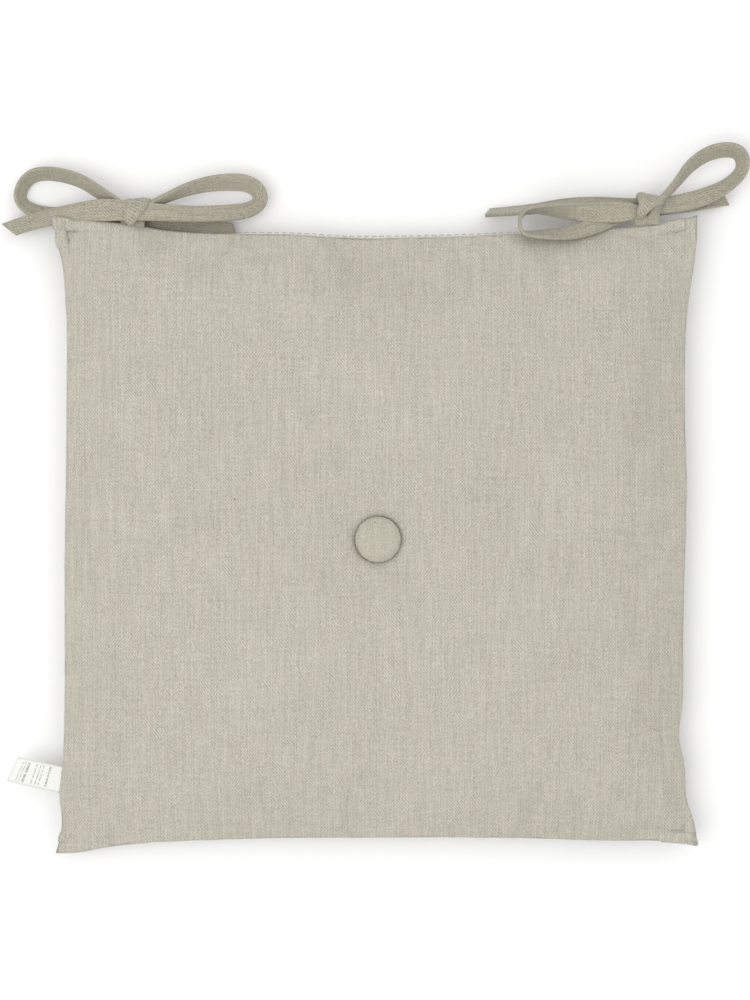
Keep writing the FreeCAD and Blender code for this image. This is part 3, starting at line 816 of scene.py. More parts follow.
# the seam seen from above, in millimetres, from the front corner back or from left to right
LEFT_SEAM = (
    (-199.5, -194.5), (-195.6, -176), (-197.0, -158), (-195.3, -140), (-194.0, -99), (-194.0, -38),
    (-193.8, 0), (-193.2, 40), (-192.8, 86), (-193.4, 147), (-195.9, 172), (-199.0, 184), (-201.0, 199),
)
RIGHT_SEAM = (
    (197.5, -189.5), (196.2, -177), (191.2, -161), (189.4, -137), (186.2, -122), (188.3, -104), (189.0, -60),
    (190.4, 0), (191.2, 30), (189.9, 86), (192.2, 147), (195.9, 172), (197.1, 184), (197.5, 200.5),
)
FRONT_SEAM = (
    (-199.5, -194.5), (-184, -193.8), (-171, -191.4), (-140, -188), (-110, -186.6), (-73, -185.4),
    (0, -184.9), (75, -184.9), (137, -186.6), (186, -187.8), (197.5, -189.5),
)
REAR_SEAM = (
    (-201.0, 199), (-186, 197.4), (-168, 196.0), (-150, 194.0), (-134, 191.4), (-118, 189.6), (-86, 188.8),
    (-52, 188.4), (-12, 186.3),
    (14, 186.6), (44, 187.2), (95, 189.4), (137, 191.6), (172, 194.8), (190, 198.6), (197.5, 200.5),
)
FOLD_DEPTH = 1.3  # every fold's height is multiplied by this
# folds in the top: centre line in mm, half width in mm, and height in mm, minus for a crease
FOLDS = (
    (((-34, -6), (-62, -6), (-100, 4), (-150, 3), (-190, -1)), 5.0, -1.7),
    (((-60, 3), (-105, 14), (-150, 12), (-188, 8)), 6.5, 0.9),
    (((-110, -8), (-150, -14), (-188, -16)), 6.0, 1.0),
    (((-120, -20), (-155, -27), (-189, -29)), 4.5, -1.2),
    (((34, -2), (60, -6), (103, -19), (171, -27)), 5.0, -1.8),
    (((120, -6), (150, -3), (188, -2)), 4.5, -1.3),
    (((110, -6), (137, -11), (165, -14)), 6.0, 1.0),
    (((138, 10), (165, 7), (188, 9)), 6.0, 1.0),
    (((-12, -20), (-30, -36), (-38, -58)), 6.0, -1.3),
    (((0, -30), (-2, -62), (5, -99), (2, -140), (0, -178)), 6.0, -1.5),
    (((-14, -60), (-26, -87), (-24, -120)), 9.0, 0.7),
    (((12, -90), (13, -124), (10, -160)), 8.0, 0.8),
    (((44, -140), (58, -162), (64, -182)), 8.0, 0.9),
    (((-10, -150), (-7, -182)), 5.0, 0.8),
    (((10, 20), (24, 42), (41, 86)), 6.5, -1.6),
    (((4, 40), (12, 67), (24, 96)), 8.0, 0.7),
    (((80, 30), (130, 46), (160, 52)), 12.0, 0.7),
    (((-10, 150), (-12, 184)), 12.0, -1.6),
    (((-70, -110), (-120, -150), (-160, -180)), 16.0, -0.9),
    (((120, 120), (160, 160), (190, 190)), 12.0, -0.9),
    (((-150, 150), (-178, 178), (-196, 194)), 7.0, -0.8),
    (((150, -150), (176, -174), (194, -188)), 7.0, -0.8),
)


def spread(cells):
    """Places from -1 to 1 across a panel, closer together near the seam."""
    even = np.linspace(-1, 1, cells + 1)
    return 0.35 * np.sin(math.pi / 2 * even) + 0.65 * even


def panel_places(places):
    """X and Y of a panel's points in metres, drawn between the four seam lines."""
    share = (places + 1) / 2
    left = smooth_line(LEFT_SEAM, share) * MM
    right = smooth_line(RIGHT_SEAM, share) * MM
    front = smooth_line(FRONT_SEAM, share) * MM
    rear = smooth_line(REAR_SEAM, share) * MM
    s = share[:, None, None]
    t = share[None, :, None]
    flat = (1 - s) * left[None] + s * right[None] + (1 - t) * front[:, None] + t * rear[:, None]
    corners = np.array((FRONT_SEAM[0], FRONT_SEAM[-1], REAR_SEAM[0], REAR_SEAM[-1])) * MM
    flat -= (1 - s) * (1 - t) * corners[0] + s * (1 - t) * corners[1]
    flat -= (1 - s) * t * corners[2] + s * t * corners[3]
    return flat


def swell(places):
    """Height of a stuffed panel as a share of its crown."""
    rise = 1 - np.abs(places) ** 3.2
    return (rise[:, None] * rise[None, :]) ** 0.55


def smooth_step(value, start, end):
    share = np.clip((value - start) / (end - start), 0, 1)
    return share * share * (3 - 2 * share)


def top_surface(flat, places, crown):
    away = np.hypot(flat[..., 0], flat[..., 1]) / MM
    height = SEAM_HEIGHT + crown * swell(places)
    height -= 5.2 * MM * np.exp(-((away / 40) ** 1.7))
    height -= 8.5 * MM * (1 - smooth_step(away, 8.5, 15.8))
    return np.concatenate([flat, height[..., None]], axis=-1)


def under_surface(flat, places):
    away = np.hypot(flat[..., 0], flat[..., 1]) / MM
    depth = 23.0 * MM * swell(places)
    height = SEAM_HEIGHT - depth
    soft = 1.5 * MM
    height = soft * np.logaddexp(0, height / soft)
    height += 4.0 * MM * np.exp(-((away / 24) ** 2))
    height += 4.2 * MM * (1 - smooth_step(away, 9.0, 16.5))
    return np.concatenate([flat, height[..., None]], axis=-1)


def line_distance(flat, points):
    """Distance in mm from a broken line, and the place along it from 0 to 1."""
    points = np.asarray(points, float)
    here = flat[..., :2] / MM
    nearest = np.full(here.shape[:2], 1e9)
    place = np.zeros(here.shape[:2])
    lengths = np.linalg.norm(np.diff(points, axis=0), axis=1)
    starts = np.concatenate([[0], np.cumsum(lengths)])
    for k in range(len(lengths)):
        step = points[k + 1] - points[k]
        along = np.clip(((here - points[k]) @ step) / lengths[k] ** 2, 0, 1)
        gap = np.linalg.norm(here - points[k] - along[..., None] * step, axis=-1)
        closer = gap < nearest
        nearest = np.where(closer, gap, nearest)
        place = np.where(closer, (starts[k] + along * lengths[k]) / starts[-1], place)
    return nearest, place


def folds(flat):
    """Height that the listed folds add to the top."""
    added = np.zeros(flat.shape[:2])
    for points, width, height in FOLDS:
        gap, place = line_distance(flat, points)
        taper = smooth_step(place, -0.02, 0.3) * (1 - 0.45 * smooth_step(place, 0.6, 1.0))
        added += FOLD_DEPTH * height * MM * taper * np.exp(-((gap / width) ** 2))
    return added


def grid_normals(grid):
    """Unit normals of a square grid of points."""
    along = np.gradient(grid, axis=0)
    across = np.gradient(grid, axis=1)
    normal = np.cross(along, across)
    return normal / np.maximum(np.linalg.norm(normal, axis=-1, keepdims=True), 1e-12)


# gathers beside the seam: pitch in mm, share of the full depth, and how far they reach in mm
GATHERS = ((19.0, 0.9, 13.0), (12.5, 0.7, 9.0), (7.6, 0.45, 6.0), (31.0, 0.8, 20.0))


def seam_gathers(flat, places, depth, seed):
    """Small gathers that the stitching draws into the cloth beside the seam."""
    draw = np.random.default_rng(seed)
    added = np.zeros(flat.shape[:2])
    edge = 1 - np.abs(places)
    for axis in (0, 1):
        run = flat[..., axis] / MM
        beside = edge[None, :] if axis == 0 else edge[:, None]
        beside = np.broadcast_to(beside, added.shape) * 193
        for pitch, share, reach in GATHERS:
            for sign in (-1, 1):
                phase = draw.uniform(0, 6.28)
                wander = draw.uniform(0, 6.28)
                half = places[None, :] * sign > 0 if axis == 0 else places[:, None] * sign > 0
                wave = np.sin(6.283 * run / pitch + phase + 1.4 * np.sin(run / 23 + wander))
                strength = 0.55 + 0.45 * np.sin(run / 37 + 2 * wander)
                fade = np.exp(-((beside / reach) ** 2)) * (1 - np.exp(-((beside / 1.2) ** 2)) * 0.6)
                added += np.where(half, wave * strength * fade * share, 0)
    return added * depth


def closed_cover(top, under):
    """One closed mesh from the two panels, whose seam points are shared."""
    rows = top.shape[0]
    on_seam = np.zeros((rows, rows), bool)
    on_seam[0, :] = on_seam[-1, :] = on_seam[:, 0] = on_seam[:, -1] = True
    upper = np.arange(rows * rows).reshape(rows, rows)
    lower = upper.copy()
    lower[~on_seam] = rows * rows + np.arange((~on_seam).sum())
    points = np.concatenate([top.reshape(-1, 3), under[~on_seam]])
    faces = []
    for index, flip in ((upper, False), (lower, True)):
        for i in range(rows - 1):
            for j in range(rows - 1):
                quad = (index[i, j], index[i + 1, j], index[i + 1, j + 1], index[i, j + 1])
                faces.append(tuple(int(v) for v in (quad[::-1] if flip else quad)))
    return points, faces, upper, lower, on_seam


SIMULATED_FRAMES = 20


def stuffed(top, under, sizes):
    """The two panels after the filling has pushed the cloth out, by a cloth simulation."""
    points, faces, upper, lower, on_seam = closed_cover(top, under)
    trial = show("stuffing_trial", make_mesh("stuffing_trial", points, faces))
    held = trial.vertex_groups.new(name="held")
    away = np.hypot(points[:, 0], points[:, 1])
    on_floor = (points[:, 2] < 0.9 * MM) & (away > 0.02)
    weight = np.where(away < 0.019, 1.0, 0.0)
    weight = np.maximum(weight, np.where(on_floor, 1.0, 0.0))
    weight[upper[on_seam]] = 1.0
    for index in np.nonzero(weight)[0]:
        held.add([int(index)], float(weight[index]), "REPLACE")
    pad = trial.modifiers.new("stuffing", "CLOTH")
    cloth_settings = pad.settings
    cloth_settings.quality = 4
    cloth_settings.mass = 0.25
    cloth_settings.tension_stiffness = 12
    cloth_settings.compression_stiffness = 6
    cloth_settings.shear_stiffness = 3
    cloth_settings.bending_stiffness = 0.25
    cloth_settings.use_pressure = True
    cloth_settings.uniform_pressure_force = sizes.pressure
    cloth_settings.shrink_min = -sizes.slack
    cloth_settings.vertex_group_mass = "held"
    cloth_settings.effector_weights.gravity = 0
    pad.collision_settings.use_collision = False
    pad.point_cache.frame_start = 1
    pad.point_cache.frame_end = SIMULATED_FRAMES
    scene = bpy.context.scene
    for number in range(1, SIMULATED_FRAMES + 1):
        scene.frame_set(number)
    graph = bpy.context.evaluated_depsgraph_get()
    result = trial.evaluated_get(graph).to_mesh()
    after = np.empty(len(result.vertices) * 3)
    result.vertices.foreach_get("co", after)
    after = after.reshape(-1, 3)
    trial.evaluated_get(graph).to_mesh_clear()
    scene.frame_set(1)
    bpy.data.objects.remove(trial)
    moved = after - points
    length = np.linalg.norm(moved, axis=1, keepdims=True)
    moved *= np.minimum(1, sizes.travel / np.maximum(length, 1e-9))
    after = points + moved
    return after[upper], after[lower]


def cover_grids(sizes):
    """Points of the top and bottom panels, stuffed, folded and gathered."""
    places = spread(sizes.cells)
    flat = panel_places(places)
    top = top_surface(flat, places, sizes.crown - 1.2 * MM)
    under = under_surface(flat, places)
    top, under = stuffed(top, under, sizes)
    added = folds(flat) * smooth_step(np.hypot(flat[..., 0], flat[..., 1]), 0.015, 0.03)
    top += grid_normals(top) * (added + seam_gathers(flat, places, sizes.pucker, 4))[..., None]
    under -= grid_normals(under) * seam_gathers(flat, places, sizes.pucker, 9)[..., None]
    under[..., 2] = np.maximum(under[..., 2], 0.0)
    top[..., 2] = np.minimum(top[..., 2], TOP + 1.0 * MM)
    return top, under


def border_of(rows):
    """Places of a square grid's outer points, in order once round."""
    out = [(i, 0) for i in range(rows - 1)] + [(rows - 1, j) for j in range(rows - 1)]
    back = range(rows - 1, 0, -1)
    return out + [(i, rows - 1) for i in back] + [(0, j) for j in back]


def panel_object(name, grid, flip, sizes):
    """A panel as a closed shell, with its seam allowance turned in and a wall as thick as the cloth."""
    rows = grid.shape[0]
    points = list(grid.reshape(-1, 3))
    faces = []
    for i in range(rows - 1):
        for j in range(rows - 1):
            a = i * rows + j
            quad = (a, a + rows, a + rows + 1, a + 1)
            faces.append(quad[::-1] if flip else quad)
    border = border_of(rows)
    ring = [i * rows + j for i, j in border]
    edge = np.array([points[k] for k in ring])
    ahead = tangents_of(edge, closed=True)
    inward = np.cross((0, 0, 1), ahead)
    inward[:, 2] = 0
    inward /= np.linalg.norm(inward, axis=1)[:, None]
    lift = (-0.06 if flip else 0.06) * MM
    for share in (0.25, 1.0):
        start = len(points)
        for k, place in enumerate(edge):
            i, j = border[k]
            direction = inward[k].copy()
            if i in (0, rows - 1) and j in (0, rows - 1):
                direction = np.array([1.0 if i == 0 else -1.0, 1.0 if j == 0 else -1.0, 0.0])
            row = place + direction * sizes.allowance * share
            row[2] = SEAM_HEIGHT + lift
            points.append(row)
        for k in range(len(ring)):
            nxt = (k + 1) % len(ring)
            quad = (ring[nxt], ring[k], start + k, start + nxt)
            faces.append(quad[::-1] if flip else quad)
        ring = list(range(start, start + len(edge)))
    piece = show(name, make_mesh(name, points, faces))
    smooth = piece.modifiers.new("smooth", "SUBSURF")
    smooth.levels = smooth.render_levels = 1
    wall = piece.modifiers.new("cloth thickness", "SOLIDIFY")
    wall.thickness = sizes.fabric
    wall.offset = -1
    return baked(piece)


def make_cover(sizes, colours):
    """The two stuffed panels of the cover."""
    fabric = cloth("cover cloth", colours.cover)
    top, under = cover_grids(sizes)
    upper = panel_object("cover_top", top, False, sizes)
    finish_piece(upper, fabric, "base", ["top_panel"])
    press(upper)
    lower = panel_object("cover_bottom", under, True, sizes)
    finish_piece(lower, fabric, "base", ["bottom_panel"])


def press(piece):
    """Gives the piece its own copy of its mesh."""
    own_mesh(piece)


# ---------------------------------------------------------------- filling


def layer_mesh(name, flat, high, low, seed):
    """A closed layer of wadding between two height maps, a little lumpy."""
    rows = flat.shape[0]
    draw = np.random.default_rng(seed)
    lumps = np.zeros(flat.shape[:2])
    for _ in range(12):
        direction = draw.uniform(-1, 1, 2) * 0.12
        across = flat[..., 0] / MM * direction[0] + flat[..., 1] / MM * direction[1]
        lumps += np.sin(across + draw.uniform(0, 6))
    lumps *= 0.06 * MM
    upper = np.concatenate([flat, (high + lumps)[..., None]], axis=-1).reshape(-1, 3)
    under = np.concatenate([flat, (low + lumps)[..., None]], axis=-1).reshape(-1, 3)
    faces = []
    count = rows * rows
    for i in range(rows - 1):
        for j in range(rows - 1):
            a = i * rows + j
            faces.append((a, a + rows, a + rows + 1, a + 1))
            faces.append((count + a, count + a + 1, count + a + rows + 1, count + a + rows))
    border = border_of(rows)
    ring = [i * rows + j for i, j in border]
    for k in range(len(ring)):
        a, b = ring[k], ring[(k + 1) % len(ring)]
        faces.append((a, count + a, count + b, b))
    mesh = make_mesh(name, np.concatenate([upper, under]), faces)
    return outwards(mesh)


def cloth_height(piece, flat, up):
    """Height of a panel's inner face straight above or below each point of a layer's plan."""
    mesh = piece.data
    cloth_tree = BVHTree.FromPolygons([v.co for v in mesh.vertices], [p.vertices for p in mesh.polygons])
    height = np.full(flat.shape[:2], SEAM_HEIGHT)
    for i, j in np.ndindex(height.shape):
        start = Vector((*flat[i, j], SEAM_HEIGHT + up * 1.5 * MM))
        hit = cloth_tree.ray_cast(start, Vector((0, 0, up)))[0]
        if hit is not None:
            height[i, j] = hit.z
    return height


def lowest_nearby(height):
    """Each height lowered to the lowest of its neighbours."""
    wide = np.pad(height, 1, mode="edge")
    rows, columns = height.shape
    return np.min([wide[i:i + rows, j:j + columns] for i in range(3) for j in range(3)], axis=0)


def rounded_plan(places, reach):
    """A layer's plan, drawn in from the seam and rounded at its corners."""
    flat = panel_places(places * reach)
    corner = np.abs(places[:, None] * places[None, :]) ** 5
    return flat * (1 - 0.09 * corner)[..., None]


def make_wadding(sizes):
    """Three closed layers that fill the cover and keep clear of its cloth."""
    fibre = wadding_material()
    places = np.linspace(-1, 1, 65)
    gap = 3.6 * MM  # below the top's plain shape
    rest = 2.2 * MM  # above the underside's plain shape
    clear = 0.9 * MM  # always left to the finished cloth
    thin = 0.5 * MM  # the least thickness of a layer
    cover_above, cover_below = bpy.data.objects["cover_top"], bpy.data.objects["cover_bottom"]
    layers = {}
    for name, reach in (("upper_wadding", 0.885), ("core_wadding", 0.895), ("lower_wadding", 0.93)):
        here = places * reach
        flat = rounded_plan(places, reach)
        ceiling = lowest_nearby(cloth_height(cover_above, flat, 1)) - clear
        ground = -lowest_nearby(-cloth_height(cover_below, flat, -1)) + clear
        top = np.minimum(top_surface(flat, here, sizes.crown - 1.2 * MM)[..., 2] - gap, ceiling)
        under = np.maximum(under_surface(flat, here)[..., 2] + rest, ground)
        layers[name] = (flat, top, under)
    flat, top, under = layers["upper_wadding"]
    low = np.minimum(LAYER_HIGH + 0.1 * MM, top - thin)
    upper_mesh = layer_mesh("upper_wadding_layer", flat, top, low, 1)
    flat, top, under = layers["core_wadding"]
    high = np.minimum(LAYER_HIGH - 1.0 * MM, top - 2.6 * thin)
    low = np.minimum(np.maximum(LAYER_LOW + 0.1 * MM, under + 2.6 * thin), high - thin)
    core_mesh = layer_mesh("core_wadding_layer", flat, high, low, 2)
    flat, top, under = layers["lower_wadding"]
    high = np.maximum(LAYER_LOW - 1.0 * MM, under + thin)
    lower_mesh = layer_mesh("lower_wadding_layer", flat, high, under, 3)
    for mesh, node, moves in (
        (upper_mesh, "upper_wadding", True),
        (core_mesh, "core_wadding", True),
        (lower_mesh, "lower_wadding", False),
    ):
        piece = show(mesh.name, mesh)
        finish_piece(piece, fibre, "base", [node])
        if moves:
            press(piece)


# ---------------------------------------------------------------- buttons

# a covered button's section: share of its radius, share of its height above the rim's lower edge
BUTTON_SECTION = (
    (0.0, 1.0), (0.18, 0.995), (0.36, 0.975), (0.54, 0.93), (0.70, 0.865), (0.82, 0.78), (0.91, 0.66),
    (0.965, 0.53), (0.99, 0.40), (1.0, 0.27), (0.995, 0.14), (0.975, 0.05), (0.94, 0.0),
)
BUTTON_INSIDE = (
    (0.957, 0.06), (0.957, 0.30), (0.90, 0.52), (0.80, 0.68), (0.66, 0.775), (0.45, 0.84),
    (0.2, 0.88), (0.0, 0.885),
)


def button_cap(name, box, facing_up):
    """A cloth cap drawn over a button, with small gathers at its rim."""
    low, high = box[0][2], box[1][2]
    height = high - low
    profile = []
    for radius, rise in BUTTON_SECTION + BUTTON_INSIDE:
        z = low + rise * height if facing_up else high - rise * height
        profile.append((radius * BUTTON_RADIUS, z))
    points, faces = turned_shape(profile, 72)
    cap = []
    for x, y, z in points:
        radius = math.hypot(x, y) / BUTTON_RADIUS
        turn = math.atan2(y, x)
        drawn = max(0.0, radius - 0.86) / 0.14
        ripple = 1 + 0.006 * drawn * math.sin(31 * turn) + 0.004 * drawn * math.sin(13 * turn + 1)
        cap.append((x * ripple, y * ripple, z))
    return outwards(make_mesh(name, cap, faces))


def make_buttons(colours):
    """The cloth caps, and the finish of the metal parts that stay as the frame has them."""
    fabric = cloth("button cloth", colours.button, pitch=(1.2, 1.35), contrast=0.8)
    for prefix, box, up in (("upper", UPPER_BUTTON, True), ("lower", LOWER_BUTTON, False)):
        body = prefix + "_button"
        cap = show(body + "_cap", button_cap(body + "_cap", box, up))
        finish_piece(cap, fabric, body, [body + "_cover"])
    tin = metal_material("tinned steel pressing", linear(196, 197, 198), (0.3, 3.0, 1.0), 0.38)
    wire = metal_material("drawn steel wire", linear(178, 180, 183), (2.0, 0.3, 2.0), 0.30)
    for prefix in ("upper", "lower"):
        for part, metal in (("shell", tin), ("back", tin), ("shank", wire)):
            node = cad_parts["%s_button_%s" % (prefix, part)]
            for place in node.material_slots:
                place.material = metal


# ---------------------------------------------------------------- threads


def make_twine():
    """Two strands of twine twisted together through the filling and looped round both shanks."""
    low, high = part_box("tufting_twine")
    loop = 1.8 * MM
    bottom = low[2] + loop
    top = high[2] - loop
    strand = 0.42 * MM
    points, faces = [], []

    def add(line, closed):
        ring, quads = tube(line, strand, 8, closed)
        start = len(points)
        points.extend(ring)
        faces.extend(tuple(start + v for v in quad) for quad in quads)

    steps = np.linspace(0, 1, 120)
    for half in (0, math.pi):
        turn = steps * 2 * math.pi * 7 + half
        radius = strand * 0.98
        height = bottom + 0.6 * loop + (top - bottom - 1.2 * loop) * steps
        add(np.stack([radius * np.cos(turn), radius * np.sin(turn), height], axis=1), False)
    for centre in (bottom, top):
        turn = np.linspace(0, 2 * math.pi, 28, endpoint=False)
        ring = np.stack([0 * turn, loop * 0.85 * np.cos(turn), centre + loop * 0.85 * np.sin(turn)], axis=1)
        add(ring, True)
    mesh = outwards(make_mesh("tufting_twine_strands", points, faces))
    piece = show("tufting_twine_strands", mesh)
    finish = thread_material("waxed twine", linear(203, 196, 178), 0.9)
    finish_piece(piece, finish, "base", ["tufting_twine"])
    press(piece)


def socket_id(tree, name):
    for item in tree.interface.items_tree:
        if item.item_type == "SOCKET" and item.in_out == "INPUT" and item.name == name:
            return item.identifier
    raise RuntimeError("the node tree has no input named " + name)


def thread_tree(name, stitch):
    """Stitches set out along a line: stitch(tree, inputs) gives the curve of one of them."""
    tree = bpy.data.node_groups.new(name, "GeometryNodeTree")
    face = tree.interface
    face.new_socket("Line", in_out="INPUT", socket_type="NodeSocketGeometry")
    lengths = (("Pitch", 3 * MM), ("Stitch", 2 * MM), ("Thread", 0.25 * MM), ("Height", 0.4 * MM))
    for label, default in lengths:
        socket = face.new_socket(label, in_out="INPUT", socket_type="NodeSocketFloat")
        socket.subtype = "DISTANCE"
        socket.default_value = default
    seed = face.new_socket("Seed", in_out="INPUT", socket_type="NodeSocketInt")
    seed.default_value = 3
    face.new_socket("Thread finish", in_out="INPUT", socket_type="NodeSocketMaterial")
    face.new_socket("Stitches", in_out="OUTPUT", socket_type="NodeSocketGeometry")
    add = tree.nodes.new
    link = tree.links.new
    given = add("NodeGroupInput")
    as_curve = add("GeometryNodeMeshToCurve")
    link(given.outputs["Line"], as_curve.inputs["Mesh"])
    spaced = add("GeometryNodeResampleCurve")
    spaced.mode = "LENGTH"
    link(as_curve.outputs["Curve"], spaced.inputs["Curve"])
    link(given.outputs["Pitch"], spaced.inputs["Length"])
    ahead = add("GeometryNodeInputTangent")
    out_of_cloth = add("GeometryNodeInputNamedAttribute")
    out_of_cloth.data_type = "FLOAT_VECTOR"
    out_of_cloth.inputs["Name"].default_value = "out"
    along = add("FunctionNodeAlignRotationToVector")
    along.axis = "X"
    link(ahead.outputs["Tangent"], along.inputs["Vector"])
    upright = add("FunctionNodeAlignRotationToVector")
    upright.axis = "Z"
    upright.pivot_axis = "X"
    link(along.outputs["Rotation"], upright.inputs["Rotation"])
    link(out_of_cloth.outputs["Attribute"], upright.inputs["Vector"])
    curve = stitch(tree, given)
    profile = add("GeometryNodeCurvePrimitiveCircle")
    profile.inputs["Resolution"].default_value = 5
    link(given.outputs["Thread"], profile.inputs["Radius"])
    body = add("GeometryNodeCurveToMesh")
    link(curve, body.inputs["Curve"])
    link(profile.outputs["Curve"], body.inputs["Profile Curve"])
    body.inputs["Fill Caps"].default_value = True
    vary = add("FunctionNodeRandomValue")
    vary.data_type = "FLOAT_VECTOR"
    vary.inputs["Min"].default_value = (0.86, 0.9, 0.85)
    vary.inputs["Max"].default_value = (1.08, 1.1, 1.1)
    link(given.outputs["Seed"], vary.inputs["Seed"])
    placed = add("GeometryNodeInstanceOnPoints")
    link(spaced.outputs["Curve"], placed.inputs["Points"])
    link(body.outputs["Mesh"], placed.inputs["Instance"])
    link(upright.outputs["Rotation"], placed.inputs["Rotation"])
    link(vary.outputs["Value"], placed.inputs["Scale"])
    real = add("GeometryNodeRealizeInstances")
    link(placed.outputs["Instances"], real.inputs["Geometry"])
    finish = add("GeometryNodeSetMaterial")
    link(real.outputs["Geometry"], finish.inputs["Geometry"])
    link(given.outputs["Thread finish"], finish.inputs["Material"])
    result = add("NodeGroupOutput")
    link(finish.outputs["Geometry"], result.inputs["Stitches"])
    return tree


def running_stitch(tree, given):
    """A short arch of thread whose ends go into the cloth."""
    arch = tree.nodes.new("GeometryNodeCurveQuadraticBezier")
    arch.inputs["Resolution"].default_value = 5
    half = calc(tree, "MULTIPLY", given.outputs["Stitch"], 0.5)
    back = calc(tree, "MULTIPLY", given.outputs["Stitch"], -0.5)
    sink = calc(tree, "MULTIPLY", given.outputs["Thread"], -0.8)
    for place, end in ((back, "Start"), (half, "End")):
        point = tree.nodes.new("ShaderNodeCombineXYZ")
        tree.links.new(place, point.inputs[0])
        tree.links.new(sink, point.inputs[2])
        tree.links.new(point.outputs[0], arch.inputs[end])
    crest = tree.nodes.new("ShaderNodeCombineXYZ")
    tree.links.new(given.outputs["Height"], crest.inputs[2])
    tree.links.new(crest.outputs[0], arch.inputs["Middle"])
    return arch.outputs["Curve"]


def overlock_loop(tree, given):
    """One turn of thread round the raw edge of both seam allowances."""
    coil = tree.nodes.new("GeometryNodeCurveSpiral")
    coil.inputs["Resolution"].default_value = 9
    coil.inputs["Rotations"].default_value = 1.0
    tree.links.new(given.outputs["Height"], coil.inputs["Start Radius"])
    tree.links.new(given.outputs["Height"], coil.inputs["End Radius"])
    tree.links.new(given.outputs["Pitch"], coil.inputs["Height"])
    lay = tree.nodes.new("GeometryNodeTransform")
    lay.inputs["Rotation"].default_value = (0, math.pi / 2, 0)
    lay.inputs["Scale"].default_value = (0.55, 1.5, 1.0)
    tree.links.new(coil.outputs["Curve"], lay.inputs["Geometry"])
    return lay.outputs["Geometry"]


def line_object(name, points, out, closed=False):
    """A bare line of edges that carries the direction out of the cloth at each point."""
    mesh = bpy.data.meshes.new(name)
    count = len(points)
    edges = [(k, k + 1) for k in range(count - 1)]
    if closed:
        edges.append((count - 1, 0))
    mesh.from_pydata([tuple(p) for p in points], edges, [])
    attribute = mesh.attributes.new("out", "FLOAT_VECTOR", "POINT")
    attribute.data.foreach_set("vector", np.asarray(out, float).ravel())
    return show(name, mesh)


def sewn(name, points, out, tree, values, material, body, replaced=(), closed=False):
    """Runs a stitch tree along a line and keeps the result as a plain mesh."""
    piece = line_object(name, points, out, closed)
    sewing = piece.modifiers.new("sewing", "NODES")
    sewing.node_group = tree
    for label, value in values.items():
        sewing[socket_id(tree, label)] = value
    sewing[socket_id(tree, "Thread finish")] = material
    baked(piece)
    return finish_piece(piece, material, body, replaced)


def make_threads(colours):
    """The hand-closed seam's stitches and the overlocked edge of the allowance."""
    finish = thread_material("sewing thread", colours.thread)
    running = thread_tree("running stitch", running_stitch)
    wrapped = thread_tree("overlock", overlock_loop)
    places = np.linspace(0, 1, 400)
    rear = smooth_line(REAR_SEAM, places) * MM
    low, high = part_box("closing_seam_thread")
    part = rear[(rear[:, 0] > low[0]) & (rear[:, 0] < high[0])]
    line = np.concatenate([part, np.full((len(part), 1), SEAM_HEIGHT + 1.3 * MM)], axis=1)
    line[:, 1] -= 0.15 * MM
    out = np.tile((0.0, 0.75, 0.66), (len(line), 1))
    values = {"Pitch": 4.6 * MM, "Stitch": 2.8 * MM, "Thread": 0.25 * MM, "Height": 0.5 * MM, "Seed": 5}
    sewn(
        "closing_seam_stitches", line, out, running, values, finish, "base",
        ["closing_seam_thread"],
    )
    around = []
    round_the_cushion = ((FRONT_SEAM, False), (RIGHT_SEAM, False), (REAR_SEAM, True), (LEFT_SEAM, True))
    for side, turned_round in round_the_cushion:
        run = smooth_line(side, np.linspace(0.032, 0.968, 161)) * MM
        around.append(run[::-1] if turned_round else run)
    around = np.concatenate(around)
    ahead = tangents_of(np.concatenate([around, np.zeros((len(around), 1))], axis=1), closed=True)
    inward = np.cross((0, 0, 1), ahead)
    inset = 8.6 * MM
    line = np.concatenate([around, np.full((len(around), 1), SEAM_HEIGHT)], axis=1) + inward * inset
    out = np.tile((0.0, 0.0, 1.0), (len(line), 1))
    values = {"Pitch": 3.6 * MM, "Stitch": 2.0 * MM, "Thread": 0.2 * MM, "Height": 1.7 * MM, "Seed": 8}
    sewn(
        "perimeter_overlock", line, out, wrapped, values, finish, "base",
        ["perimeter_seam_thread"], closed=True,
    )


# ---------------------------------------------------------------- care label


